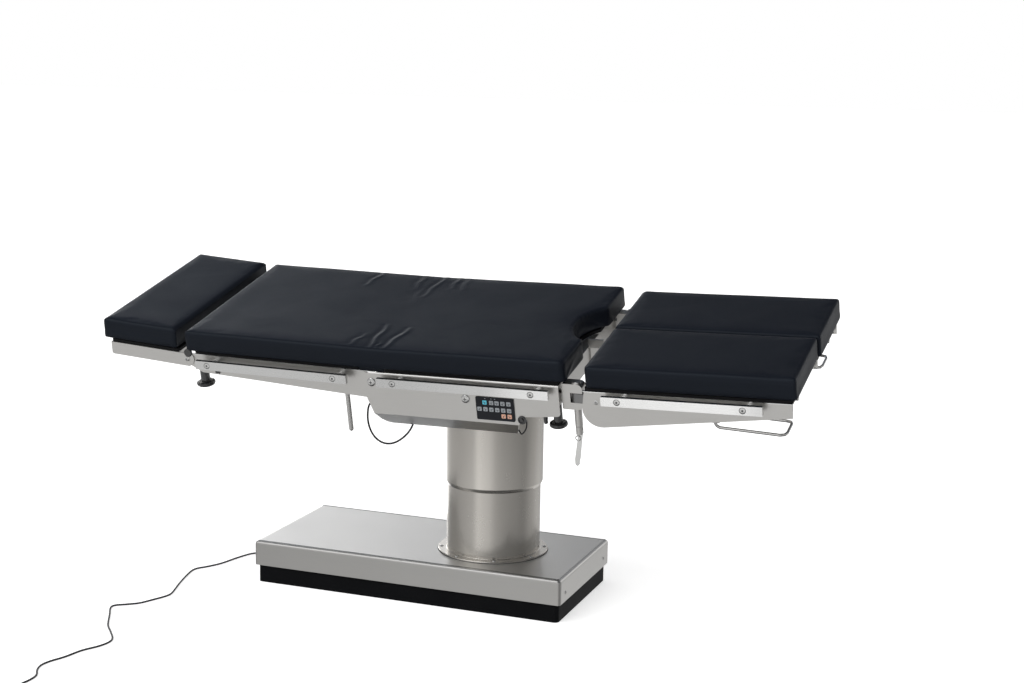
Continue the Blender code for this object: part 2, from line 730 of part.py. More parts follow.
def make_cross(cross):
    """The cross between both tilt axes: trunnions along X, a bore along Y, the tipping drive below."""
    x, y, z = TIP_AXIS_X, 0.0, TIP_AXIS_Z
    size = (2 * CROSS_HALF_LENGTH, 2 * CROSS_HALF_WIDTH, 2 * CROSS_HALF_HEIGHT)
    made = solid("tilt_cross", soft_box(size, (x, y, z), 0.004), dark_steel())
    reach = CROSS_HALF_LENGTH + GAP + EAR_THICKNESS
    drive_height = CROSS_HALF_HEIGHT
    drive = (2 * DRIVE_HALF_WIDTH * 0.95, 2 * DRIVE_HALF_WIDTH * 0.95, drive_height + WELD)
    low = z - CROSS_HALF_HEIGHT - drive_height / 2 + WELD / 2
    join(made, rod(TRUNNION_RADIUS, x - reach, x + reach, (0, y, z), "X"), soft_box(drive, (x, y, low), 0.0))
    cut(made, rod(TIP_SHAFT_RADIUS + GAP, -2 * CROSS_HALF_WIDTH, 2 * CROSS_HALF_WIDTH, (x, 0, z), "Y",
                  BORE_STEPS))
    cross.carry(smooth(made))


def casing_section():
    """The folded skirt seen along its length: one sheet, chamfered inwards at the foot."""
    face = SIDE_FACE
    top = board_bottom() - GAP
    low = CASING_BOTTOM
    step = CASING_CHAMFER
    lean = SHEET * math.tan(math.radians(22.5))
    outer = rounded([(-face, CASING_FOLD), (-face, top), (face, top), (face, CASING_FOLD)],
                    [0.0, CASING_BEND, CASING_BEND, 0.0], 3)
    right = [(face - step, low), (face - step - CASING_RETURN, low),
             (face - step - CASING_RETURN, low + SHEET), (face - step - lean, low + SHEET),
             (face - SHEET, CASING_FOLD + lean)]
    inner = rounded([(face - SHEET, CASING_FOLD + lean), (face - SHEET, top - SHEET),
                     (-face + SHEET, top - SHEET), (-face + SHEET, CASING_FOLD + lean)],
                    [0.0, CASING_BEND - SHEET, CASING_BEND - SHEET, 0.0], 3)
    left = [(-y, z) for y, z in reversed(right[:-1])]
    return outer + right[:-1] + inner + left


def board_bottom():
    return -CUSHION_THICKNESS - GAP - BOARD_THICKNESS


def casing_side():
    """The skirt's outline in side view, with the ear round the back hinge."""
    top = board_bottom() - GAP + 0.01
    ear = [(BACK_AXIS_X + CASING_EAR_RADIUS * math.cos(math.radians(angle)),
            BACK_AXIS_Z + CASING_EAR_RADIUS * math.sin(math.radians(angle)))
           for angle in range(90, 226, 15)]
    right = rounded([(CASING_FOOT_X + 0.015, CASING_CUT_Z), (CASING_FOOT_X, CASING_BOTTOM),
                     (CASING_FOLD_X, CASING_FOLD), (CASING_STEP_X, CASING_STEP_Z),
                     (SEAT_END, CASING_END_Z), (SEAT_END, top)], [0, 0, 0, 0.004, 0.008, 0])
    left = CASING_HEAD_CURVE + [(CASING_HEAD_CURVE[-1][0], CASING_CUT_Z)]
    start = [(BACK_AXIS_X + 0.006, BACK_AXIS_Z + CASING_EAR_RADIUS), (BACK_AXIS_X + 0.034, top)]
    return right + list(reversed(start)) + ear + left


def scoop(margin):
    """The rounded cut-out at the foot end, opened with rounded lips. The margin widens it."""
    radius = SCOOP_RADIUS + margin
    centre = SEAT_CUSHION_END - SCOOP_DEPTH + SCOOP_RADIUS
    half = math.degrees(math.acos((centre - SEAT_CUSHION_END) / SCOOP_RADIUS)) + 8.0
    arc = []
    for step in range(25):
        angle = math.radians(180.0 + half - 2.0 * half * step / 24)
        arc.append((centre + radius * math.cos(angle), radius * math.sin(angle)))
    return [(centre + 0.05, arc[0][1] - 0.03)] + arc + [(centre + 0.05, arc[-1][1] + 0.03)]


def cushion(name, left_x, right_x, near_y, far_y, left_lean=0.0, right_lean=0.0):
    """A plain pad, round at its outer upright corners. A lean slants an end from the foot of the pad."""
    outline = box_outline(left_x, right_x, near_y, far_y)
    radii = []
    for x, y in outline:
        lean = left_lean if x == left_x else right_lean
        outer = abs(y) == CUSHION_HALF_WIDTH
        radii.append(CUSHION_CORNER if outer and lean == 0.0 else 0.0)
    shape = prism(rounded(outline, radii), "Z", -CUSHION_THICKNESS, 0.0)
    for corner in shape.verts:
        if corner.co.z == 0.0 and left_lean and abs(corner.co.x - left_x) < GAP:
            corner.co.x += left_lean
        if corner.co.z == 0.0 and right_lean and abs(corner.co.x - right_x) < GAP:
            corner.co.x += right_lean
    return solid(name, shape, pad_cover())


def fold_rise():
    """Height of the mattress' underside above the back hinge's axis."""
    return -CUSHION_THICKNESS - BACK_AXIS_Z


def mattress_fold():
    """The wedge of mattress over the back hinge, between two slanted ends."""
    apex = GAP * 2.0
    low, high = fold_rise() + GAP, -BACK_AXIS_Z
    turn = math.radians(BACK_RISE)
    lean = math.tan(math.radians(45.0) - turn)
    outline = [(BACK_AXIS_X - (low - apex) * lean, BACK_AXIS_Z + low),
               (BACK_AXIS_X + low - apex, BACK_AXIS_Z + low),
               (BACK_AXIS_X + high - apex, 0.0),
               (BACK_AXIS_X - (high - apex) * lean, 0.0)]
    return solid("mattress_fold", prism(outline, "Y", -CUSHION_HALF_WIDTH, CUSHION_HALF_WIDTH), pad_cover())


def board(name, left, right, near, far):
    top = -CUSHION_THICKNESS - GAP
    outline = rounded(box_outline(left, right, near, far), 0.006, 3)
    return solid(name, prism(outline, "Z", top - BOARD_THICKNESS, top), laminate())


def rail(name, left, right, height, posts, side, face=SIDE_FACE):
    """A flat accessory rail on two round posts."""
    inner = SIDE_FACE + RAIL_STANDOFF
    outer = inner + RAIL_THICKNESS
    outline = rounded(box_outline(left, right, height - RAIL_HEIGHT / 2, height + RAIL_HEIGHT / 2),
                      RAIL_EDGE, 2)
    made = solid(name, prism(outline, "Y", side * inner, side * outer), rail_steel())
    for post in posts:
        join(made, rod(RAIL_POST_RADIUS, side * (face + GAP), side * (inner + WELD),
                       (post, 0, height), "Y", 16))
    return smooth(made)


def make_seat(seat):
    casing = solid("seat_casing", prism(casing_section(), "X", BACK_AXIS_X - 0.04, SEAT_END + 0.01), steel())
    keep_inside(casing, prism(casing_side(), "Y", -SIDE_FACE - 0.01, SIDE_FACE + 0.01))
    inner_face = SIDE_FACE - SHEET
    notch_end = BACK_AXIS_X + FOLD_BOARD_CLEARANCE
    notch = box_outline(BACK_AXIS_X - 0.1, notch_end, -inner_face, inner_face)
    cut(casing, prism(notch, "Z", board_bottom() - SHEET - 0.004, 0.0),
        prism(scoop(0.0), "Z", board_bottom() - 2 * SHEET, 0.0),
        rod(HINGE_PIN_RADIUS + GAP, -0.3, 0.3, (BACK_AXIS_X, 0, BACK_AXIS_Z), "Y"),
        rod(TIP_SHAFT_END_RADIUS + GAP, -0.3, 0.3, (TIP_AXIS_X, 0, TIP_AXIS_Z), "Y"))
    seat.carry(smooth(casing))
    seat.carry(tilt_saddle())
    seat.carry(tip_shaft())
    seat_board = board("seat_board", notch_end, SEAT_END - GAP, -BOARD_HALF_WIDTH, BOARD_HALF_WIDTH)
    cut(seat_board, prism(scoop(0.0), "Z", -0.2, 0.1))
    seat.carry(seat_board)
    start = BACK_AXIS_X + fold_rise()
    pad = cushion("seat_cushion", start, SEAT_CUSHION_END, -CUSHION_HALF_WIDTH, CUSHION_HALF_WIDTH,
                  left_lean=CUSHION_THICKNESS)
    cut(pad, prism(scoop(0.0), "Z", -0.2, 0.1))
    seat.carry(smooth(pad))
    seat.carry(mattress_fold())
    for name, side in (("near", -1), ("far", 1)):
        seat.carry(rail("seat_rail_" + name, SEAT_RAIL_LEFT, SEAT_RAIL_RIGHT, RAIL_Z, SEAT_RAIL_POSTS, side))
        seat.carry(hinge_pin("back_hinge_pin_" + name, side))
    seat.carry(keypad())
    seat.carry(hand_control_socket())
    seat.carry(end_beam())


def tilt_saddle():
    """Two cheeks under the casing that hang on the tipping shaft."""
    x, z = TIP_AXIS_X, TIP_AXIS_Z
    top = board_bottom() - GAP - SHEET - GAP
    radius = SADDLE_CHEEK_RADIUS
    arc = [(x + radius * math.cos(math.radians(angle)), z + radius * math.sin(math.radians(angle)))
           for angle in range(190, 351, 16)]
    outline = [(x + SADDLE_HALF_LENGTH, top), (x - SADDLE_HALF_LENGTH, top)] + arc
    inner = CROSS_HALF_WIDTH + GAP
    outer = inner + SADDLE_CHEEK
    made = solid("tilt_saddle", prism(outline, "Y", -outer, outer), dark_steel())
    cut(made, prism(box_outline(x - 0.1, x + 0.1, z - 0.1, top - SADDLE_PLATE), "Y", -inner, inner),
        rod(TIP_SHAFT_RADIUS + GAP, -0.1, 0.1, (x, 0, z), "Y"))
    return smooth(made)


def tip_shaft():
    """The tipping shaft: thick in the cross, thin to the casing walls, with a domed head outside each."""
    thick = CROSS_HALF_WIDTH + GAP + SADDLE_CHEEK + 0.01
    face = SIDE_FACE + GAP
    dome = dome_profile(PIN_HEAD_RADIUS, PIN_HEAD_HEIGHT, face)
    half = [(TIP_SHAFT_RADIUS, thick), (TIP_SHAFT_END_RADIUS, thick + 0.008),
            (TIP_SHAFT_END_RADIUS, face)] + dome
    profile = [(radius, -place) for radius, place in reversed(half)] + half
    return solid("tipping_shaft", turned(profile, (TIP_AXIS_X, 0, TIP_AXIS_Z), "Y"), rail_steel())


def dome_profile(radius, height, start):
    """A low dome that begins on a face and closes on the axis."""
    points = [(radius, start), (radius, start + height * 0.35)]
    for step in range(1, 5):
        angle = math.pi / 2 * step / 4
        points.append((radius * math.cos(angle), start + height * (0.35 + 0.65 * math.sin(angle))))
    points[-1] = (0.0, start + height)
    return points


def hinge_pin(name, side):
    face = SIDE_FACE + GAP
    profile = [(0.0, face - HINGE_PIN_LENGTH), (HINGE_PIN_RADIUS, face - HINGE_PIN_LENGTH),
               (HINGE_PIN_RADIUS, face)] + dome_profile(PIN_HEAD_RADIUS, PIN_HEAD_HEIGHT, face)
    profile = [(radius, side * place) for radius, place in profile]
    return solid(name, turned(profile, (BACK_AXIS_X, 0, BACK_AXIS_Z), "Y"), rail_steel())


def keypad():
    """The membrane keypad: a thin plate on the casing's near wall."""
    outline = rounded(box_outline(KEYPAD_LEFT, KEYPAD_LEFT + KEYPAD_WIDTH, KEYPAD_TOP - KEYPAD_HEIGHT,
                                  KEYPAD_TOP), KEYPAD_CORNER)
    face = -(SIDE_FACE + GAP)
    return solid("control_keypad", prism(outline, "Y", face, face - KEYPAD_THICKNESS), film())


def hand_control_socket():
    """A round flanged socket behind the near wall, half below the casing's slanted edge."""
    face = -(SIDE_FACE - SHEET - GAP)
    back = face + SOCKET_LENGTH
    neck = SOCKET_RADIUS * 0.8
    profile = [(0.0, face), (SOCKET_RADIUS, face), (SOCKET_RADIUS, face + 0.006), (neck, face + 0.007),
               (neck, back), (0.0, back)]
    return solid("hand_control_socket", turned(profile, (SOCKET_X, 0, SOCKET_Z), "Y"), black_plastic())


def beam_top():
    return board_bottom() - GAP - SHEET - GAP


def end_beam():
    """The tube across the foot end. It holds the leg blocks' spigots and the centre stop bar."""
    top = beam_top()
    half = SIDE_FACE - CASING_BEND - GAP
    outer = box_outline(BEAM_LEFT, BEAM_RIGHT, top - BEAM_HEIGHT, top)
    inner = box_outline(BEAM_LEFT + BEAM_WALL, BEAM_RIGHT - BEAM_WALL, top - BEAM_HEIGHT + BEAM_WALL,
                        top - BEAM_WALL)
    made = solid("seat_end_beam", tube_prism(outer, inner, "Y", -half, half), steel(), False)
    bar = box_outline(BEAM_RIGHT - BEAM_WALL / 2, STOP_BAR_END, STOP_BAR_TOP - STOP_BAR_HEIGHT, STOP_BAR_TOP)
    foot = box_outline(BEAM_RIGHT - BEAM_WALL / 2, BEAM_RIGHT + 0.004, top - BEAM_HEIGHT + 0.01,
                       STOP_BAR_TOP - STOP_BAR_HEIGHT + 0.002)
    join(made, prism(bar, "Y", -STOP_BAR_THICKNESS / 2, STOP_BAR_THICKNESS / 2),
         prism(foot, "Y", -STOP_BAR_THICKNESS / 2, STOP_BAR_THICKNESS / 2))
    side = SPIGOT_WIDTH / 2 + GAP
    for sign in (-1, 1):
        middle = sign * SPINDLE_OFFSET
        cut(made, prism(box_outline(middle - side, middle + side, LEG_AXIS_SEAT_Z - side,
                                    LEG_AXIS_SEAT_Z + side), "X", BEAM_LEFT - 0.01, BEAM_RIGHT + 0.01),
            rod(SEAT_KNOB_STEM + GAP, top - BEAM_HEIGHT - 0.01, LEG_AXIS_SEAT_Z,
                (SEAT_KNOB_X, sign * KNOB_OFFSET, 0)))
    cut(made, rod(PLUNGER_RADIUS + GAP, top - BEAM_HEIGHT - 0.01, top - BEAM_HEIGHT + BEAM_WALL * 2,
                  (PLUNGER_X, -KNOB_OFFSET, 0)))
    return smooth(made, 25)


def clamp_knob(name, x, y, bottom, radius, stem, top):
    """A mushroom knob: a domed disc below, a plain stem above."""
    disc_top = bottom + KNOB_DISC_HEIGHT
    profile = [(0.0, bottom), (radius * 0.72, bottom + 0.001), (radius * 0.93, bottom + 0.004),
               (radius, bottom + KNOB_DISC_HEIGHT * 0.5), (radius * 0.95, disc_top - 0.002),
               (radius * 0.75, disc_top), (stem, disc_top + 0.001), (stem, top), (0.0, top)]
    return solid(name, turned(profile, (x, y, 0)), black_plastic())


def make_seat_controls(seat):
    beam_low = beam_top() - BEAM_HEIGHT
    spigot_low = LEG_AXIS_SEAT_Z - SPIGOT_WIDTH / 2
    for name, side in (("near", -1), ("far", 1)):
        place = (SEAT_KNOB_X, side * KNOB_OFFSET, beam_low)
        turn = Section("seat_clamp_turn_" + name, place, seat, place)
        turn.carry(clamp_knob("seat_clamp_knob_" + name, place[0], place[1], SEAT_KNOB_BOTTOM,
                              SEAT_KNOB_RADIUS, SEAT_KNOB_STEM, spigot_low - GAP))
    place = (PLUNGER_X, -KNOB_OFFSET, beam_low)
    push = Section("release_plunger_slide", place, seat, place)
    radius = PLUNGER_RADIUS
    low = PLUNGER_BOTTOM
    profile = [(0.0, low), (radius * 0.6, low), (radius * 0.9, low + 0.002), (radius * 0.9, low + 0.012),
               (radius, low + 0.013), (radius, spigot_low - 0.006), (0.0, spigot_low - 0.006)]
    push.carry(solid("release_plunger", turned(profile, (place[0], place[1], 0), steps=16), black_plastic()))


def panel_pair(target, outline, outer, inner):
    """Join a sheet panel on each side to a frame."""
    for side in (-1, 1):
        join(target, prism(outline, "Y", side * inner, side * outer))
    return target


def disc_outline(x, z, radius, start, end, step=15):
    return [(x + radius * math.cos(math.radians(angle)), z + radius * math.sin(math.radians(angle)))
            for angle in range(start, end + 1, step)]


def back_panel_face():
    return SIDE_FACE - SHEET - 2 * SLIDE_GAP


def make_back(back):
    top = board_bottom() - GAP
    outer = back_panel_face()
    inner = outer - SHEET
    right = BACK_AXIS_X - FOLD_BOARD_CLEARANCE
    plate = prism(box_outline(BACK_PANEL_LEFT + 0.012, right, -outer + 0.001, outer - 0.001), "Z",
                  top - SHEET, top)
    frame = solid("back_frame", plate, steel())
    hinge_eye = disc_outline(BACK_AXIS_X, BACK_AXIS_Z, CASING_EAR_RADIUS - 0.004, -75, 75)
    head_eye = disc_outline(HEAD_AXIS_X, HEAD_AXIS_Z, HEAD_EAR_RADIUS - 0.003, 105, 255)
    outline = ([(BACK_PANEL_LEFT + 0.030, BACK_PANEL_DEPTH_LEFT), (BACK_AXIS_X - 0.016, BACK_PANEL_DEPTH_RIGHT)]
               + hinge_eye + [(right, top), (BACK_PANEL_LEFT + 0.006, top)] + head_eye
               + [(BACK_PANEL_LEFT + 0.012, BACK_PANEL_DEPTH_LEFT + 0.010)])
    panel_pair(frame, outline, outer, inner)
    join(frame, rod(HINGE_TUBE_RADIUS, -inner - 0.001, inner + 0.001, (BACK_AXIS_X, 0, BACK_AXIS_Z), "Y"))
    for offset in (0.33, -0.33):
        rib_x = (BACK_PANEL_LEFT + right) / 2 + offset * (right - BACK_PANEL_LEFT)
        join(frame, prism(box_outline(rib_x, rib_x + 0.030, top - SHEET - 0.020, top - SHEET + 0.001), "Y",
                          -inner - 0.001, inner + 0.001))
    for side in (-1, 1):
        pin_end = side * (SIDE_FACE - HINGE_PIN_LENGTH - 0.004)
        cut(frame, rod(HINGE_PIN_RADIUS + GAP, pin_end, side * 0.3, (BACK_AXIS_X, 0, BACK_AXIS_Z), "Y"),
            rod(HEAD_PIN_RADIUS + GAP, side * 0.2, side * 0.3, (HEAD_AXIS_X, 0, HEAD_AXIS_Z), "Y", 16))
        boss = rod(HEAD_KNOB_STEM + 0.005, BACK_PANEL_DEPTH_LEFT + 0.008, top - SHEET + 0.001,
                   (HEAD_KNOB_X, side * KNOB_OFFSET, 0))
        join(frame, boss)
        cut(frame, rod(HEAD_KNOB_STEM - 0.002 + GAP, BACK_PANEL_DEPTH_LEFT - 0.01, top - SHEET - 0.010,
                       (HEAD_KNOB_X, side * KNOB_OFFSET, 0)))
    pin = rod(BACK_LEVER_RADIUS * 0.6, -inner - 0.001, -inner + 0.022, (BACK_LEVER_X, 0, BACK_LEVER_PIVOT_Z),
              "Y", 16)
    join(frame, pin)
    back.carry(smooth(frame))
    left = BACK_PANEL_LEFT + 0.012
    back.carry(board("back_board", left, right, -BOARD_HALF_WIDTH, BOARD_HALF_WIDTH))
    start = BACK_AXIS_X - fold_rise()
    back.carry(cushion("back_cushion", BACK_CUSHION_LEFT, start, -CUSHION_HALF_WIDTH, CUSHION_HALF_WIDTH,
                       right_lean=-CUSHION_THICKNESS))
    for name, side in (("near", -1), ("far", 1)):
        place = (HEAD_KNOB_X, side * KNOB_OFFSET, BACK_PANEL_DEPTH_LEFT)
        turn = Section("head_clamp_turn_" + name, place, back, place)
        turn.carry(head_knob("head_clamp_knob_" + name, place, top - SHEET - 0.012))
    for name, side in (("near", -1), ("far", 1)):
        back.carry(rail("back_rail_" + name, BACK_RAIL_LEFT, BACK_RAIL_RIGHT, RAIL_Z, BACK_RAIL_POSTS, side,
                        outer))
    place = (BACK_LEVER_X, -inner + 0.012, BACK_LEVER_PIVOT_Z)
    swing = Section("back_lever_swing", place, back, place)
    swing.carry(back_lever(place))


def head_knob(name, place, top):
    """The head clamp's mushroom knob, with a stepped stem that runs up into its boss."""
    radius, bottom = HEAD_KNOB_RADIUS, HEAD_KNOB_BOTTOM
    disc_top = bottom + KNOB_DISC_HEIGHT
    seat_z = BACK_PANEL_DEPTH_LEFT + 0.008 - GAP
    thin = HEAD_KNOB_STEM - 0.002
    profile = [(0.0, bottom), (radius * 0.72, bottom + 0.001), (radius * 0.93, bottom + 0.004),
               (radius, bottom + KNOB_DISC_HEIGHT * 0.5), (radius * 0.95, disc_top - 0.002),
               (radius * 0.75, disc_top), (HEAD_KNOB_STEM, disc_top + 0.001), (HEAD_KNOB_STEM, seat_z),
               (thin, seat_z), (thin, top), (0.0, top)]
    return solid(name, turned(profile, (place[0], place[1], 0)), black_plastic())


def back_lever(place):
    """The back lock's rod lever, with an eye on a pin and a domed tip."""
    x, y, z = place
    radius = BACK_LEVER_RADIUS
    tip = BACK_LEVER_END
    profile = [(0.0, tip), (radius * 0.6, tip + 0.001), (radius * 0.95, tip + 0.004), (radius, tip + 0.007),
               (radius, z - 0.004), (0.0, z - 0.004)]
    made = solid("back_release_lever", turned(profile, (x, y, 0), steps=16), rail_steel())
    join(made, rod(radius * 1.5, y - radius * 0.9, y + radius * 0.9, (x, 0, z), "Y", 20))
    cut(made, rod(radius * 0.6 + GAP, y - 0.02, y + 0.02, (x, 0, z), "Y", 16))
    return smooth(made)


def make_head(head):
    top = board_bottom() - GAP
    inner = back_panel_face() + GAP
    outer = inner + SHEET - GAP
    right = HEAD_CUSHION_RIGHT + 0.008
    plate = prism(box_outline(HEAD_PANEL_LEFT, right, -outer + 0.001, outer - 0.001), "Z", top - SHEET, top)
    frame = solid("head_frame", plate, steel())
    eye = disc_outline(HEAD_AXIS_X, HEAD_AXIS_Z, HEAD_EAR_RADIUS, -60, 75)
    outline = ([(HEAD_PANEL_LEFT + 0.004, HEAD_PANEL_DEPTH), (HEAD_AXIS_X + 0.004, HEAD_PANEL_DEPTH - 0.001)]
               + eye + [(right, top), (HEAD_PANEL_LEFT, top), (HEAD_PANEL_LEFT, HEAD_PANEL_DEPTH + 0.004)])
    panel_pair(frame, outline, outer, inner)
    for side in (-1, 1):
        join(frame, rod(HEAD_PIN_RADIUS, side * (inner - 2 * SHEET), side * (inner + 0.001),
                        (HEAD_AXIS_X, 0, HEAD_AXIS_Z), "Y", 16),
             turned([(radius, side * place) for radius, place in
                     [(0.0, outer - 0.001)] + dome_profile(HEAD_PIN_RADIUS * 1.3, 0.003, outer - 0.001)],
                    (HEAD_AXIS_X, 0, HEAD_AXIS_Z), "Y", 16))
    for rib_x in (HEAD_PANEL_LEFT + 0.004, right - 0.024):
        join(frame, prism(box_outline(rib_x, rib_x + 0.020, top - SHEET - 0.016, top - SHEET + 0.001), "Y",
                          -inner - 0.001, inner + 0.001))
    head.carry(smooth(frame))
    head.carry(board("head_board", HEAD_PANEL_LEFT, right, -BOARD_HALF_WIDTH, BOARD_HALF_WIDTH))
    head.carry(cushion("head_cushion", HEAD_CUSHION_LEFT, HEAD_CUSHION_RIGHT, -CUSHION_HALF_WIDTH,
                       CUSHION_HALF_WIDTH))


def leg_block(name, side):
    """The C-shaped leg block: a spigot for the seat's end beam, a slot for the arm and a fixed spindle."""
    outline = rounded([(BLOCK_LEFT, BLOCK_BOTTOM), (BLOCK_RIGHT, BLOCK_BOTTOM), (BLOCK_RIGHT, BLOCK_TOP),
                       (BLOCK_LEFT, BLOCK_TOP)], [0.004, BLOCK_CORNER, BLOCK_CORNER, 0.004], 5)
    made = solid(name, prism(outline, "Y", side * BLOCK_INNER, side * BLOCK_OUTER), steel())
    half = SPIGOT_WIDTH / 2
    middle = side * SPINDLE_OFFSET
    spigot = prism(box_outline(middle - half, middle + half, LEG_AXIS_SEAT_Z - half, LEG_AXIS_SEAT_Z + half),
                   "X", BEAM_LEFT, BLOCK_LEFT + 0.004)
    keep = box_outline(SPINDLE_X - ARM_WIDTH / 2 - SWING_GAP, BLOCK_RIGHT + 0.02,
                       LEG_AXIS_SEAT_Z - SLOT_HEIGHT / 2, LEG_AXIS_SEAT_Z + SLOT_HEIGHT / 2)
    cut(made, prism(keep, "Y", side * (BLOCK_INNER - 0.01), side * (BLOCK_OUTER + 0.01)))
    fork = SPINDLE_RADIUS * 0.95
    spindle = [(0.0, SPINDLE_TOP), (SPINDLE_CAP_RADIUS * 0.8, SPINDLE_TOP),
               (SPINDLE_CAP_RADIUS, SPINDLE_TOP - 0.0015), (SPINDLE_CAP_RADIUS, BLOCK_TOP - 0.001),
               (SPINDLE_RADIUS, BLOCK_TOP - 0.001), (SPINDLE_RADIUS, CLAMP_PIN_Z + 0.018),
               (fork, CLAMP_PIN_Z + 0.016), (fork, SPINDLE_BOTTOM), (0.0, SPINDLE_BOTTOM)]
    join(made, spigot, turned(spindle, (SPINDLE_X, middle, 0), steps=20))
    slot = CLAMP_LEVER_WIDTH * 0.5 / 2 + SLIDE_GAP / 2
    cut(made, prism(box_outline(middle - slot, middle + slot, SPINDLE_BOTTOM - 0.01, CLAMP_PIN_Z + 0.013),
                    "X", SPINDLE_X - 0.03, SPINDLE_X + 0.03))
    join(made, rod(0.003, middle - SPINDLE_RADIUS * 0.7, middle + SPINDLE_RADIUS * 0.7,
                   (SPINDLE_X, 0, CLAMP_PIN_Z), "Y", 12))
    return smooth(made)


def clamp_lever(name, side):
    """A spoon-shaped cam lever that hangs from the spindle's fork."""
    middle = side * SPINDLE_OFFSET
    half = CLAMP_LEVER_WIDTH * 0.5 / 2
    x, z = SPINDLE_X, CLAMP_PIN_Z
    low = z - CLAMP_LEVER_LENGTH
    wide = CLAMP_LEVER_WIDTH / 2
    eye = disc_outline(x, z, 0.0085, -20, 200, 20)
    blade = [(x - 0.006, z - 0.018), (x - 0.012 - wide, low + 0.020), (x - 0.013 - wide * 0.8, low + 0.005),
             (x - 0.013, low), (x - 0.013 + wide * 0.8, low + 0.004), (x - 0.010 + wide, low + 0.025),
             (x + 0.005, z - 0.020)]
    made = solid(name, prism(eye + blade, "Y", middle - half, middle + half), rail_steel())
    cut(made, rod(0.003 + GAP, middle - 0.02, middle + 0.02, (x, 0, z), "Y", 12))
    return smooth(made)


def leg_arm(name, side):
    """The arm that turns on the spindle and carries the leg's fold pin."""
    middle = side * SPINDLE_OFFSET
    half = ARM_WIDTH / 2
    eye = LEG_AXIS_SEAT_X
    steps = 10
    round_end = [(SPINDLE_X - half * math.sin(math.pi * n / steps),
                  middle + half * math.cos(math.pi * n / steps)) for n in range(steps + 1)]
    outline = round_end + [(eye + ARM_HEIGHT / 2, middle - half), (eye + ARM_HEIGHT / 2, middle + half)]
    made = solid(name, prism(outline, "Z", LEG_AXIS_SEAT_Z - ARM_HEIGHT / 2, LEG_AXIS_SEAT_Z + ARM_HEIGHT / 2),
                 dark_steel())
    nose = (disc_outline(eye, LEG_AXIS_SEAT_Z, ARM_HEIGHT / 2, -90, 90)
            + [(SPINDLE_X - half - 0.01, LEG_AXIS_SEAT_Z + ARM_HEIGHT / 2),
               (SPINDLE_X - half - 0.01, LEG_AXIS_SEAT_Z - ARM_HEIGHT / 2)])
    keep_inside(made, prism(nose, "Y", middle - half - 0.01, middle + half + 0.01))
    cut(made, rod(SPINDLE_RADIUS + GAP, LEG_AXIS_SEAT_Z - 0.03, LEG_AXIS_SEAT_Z + 0.03,
                  (SPINDLE_X, middle, 0), steps=20),
        rod(0.006 + GAP, middle - 0.03, middle + 0.03, (eye, 0, LEG_AXIS_SEAT_Z), "Y", 16))
    return smooth(made)


def leg_panel_outline():
    """The leg's side panel: deep and round at the joint, slim at the foot."""
    top = board_bottom() - GAP
    left = LEG_PANEL_LEFT
    centre_x = left + LEG_BIG_RADIUS
    centre_z = -LEG_PANEL_DEPTH + LEG_BIG_RADIUS
    arc = disc_outline(centre_x, centre_z, LEG_BIG_RADIUS, 180, 277, 12)
    return [(left + 0.008, top)] + arc + rounded(
        [(LEG_PANEL_END, -LEG_PANEL_END_DEPTH), (LEG_PANEL_END, top)], [0, 0])


def make_leg(name, side, seat):
    middle = side * SPINDLE_OFFSET
    pull = FAR_LEG_PULL if side > 0 else 0.0
    seat.carry(leg_block("leg_block_" + name, side))
    pin = (SPINDLE_X, middle, CLAMP_PIN_Z)
    cam = Section("leg_clamp_swing_" + name, pin, seat, pin)
    cam.carry(clamp_lever("leg_clamp_lever_" + name, side))
    spindle = (SPINDLE_X, middle, LEG_AXIS_SEAT_Z)
    swing = Section("leg_swing_" + name, spindle, seat, spindle)
    swing.carry(leg_arm("leg_arm_" + name, side))
    fold = Section("leg_fold_" + name, (LEG_AXIS_X, middle, LEG_AXIS_Z), swing,
                   (LEG_AXIS_SEAT_X, middle, LEG_AXIS_SEAT_Z), (0.0, LEG_DROP, 0.0))
    fold.carry(leg_frame("leg_frame_" + name, side, pull))
    near_y, far_y = sorted((side * LEG_SPLIT * 2, side * BOARD_HALF_WIDTH))
    fold.carry(board("leg_board_" + name, LEG_CUSHION_START, LEG_PANEL_END + pull, near_y, far_y))
    near_y, far_y = sorted((side * LEG_SPLIT, side * CUSHION_HALF_WIDTH))
    fold.carry(cushion("leg_cushion_" + name, LEG_CUSHION_START, LEG_CUSHION_END + pull, near_y, far_y))
    posts = [post + pull for post in LEG_RAIL_POSTS]
    fold.carry(rail("leg_rail_" + name, LEG_RAIL_LEFT + pull, LEG_RAIL_RIGHT + pull, LEG_RAIL_Z, posts, side))
    grip = (HANDLE_AXIS_X + pull, side * HANDLE_OUTER, HANDLE_AXIS_Z)
    lift_grip = Section("leg_handle_swing_" + name, grip, fold, grip)
    lift_grip.carry(leg_handle("leg_handle_" + name, side, pull))


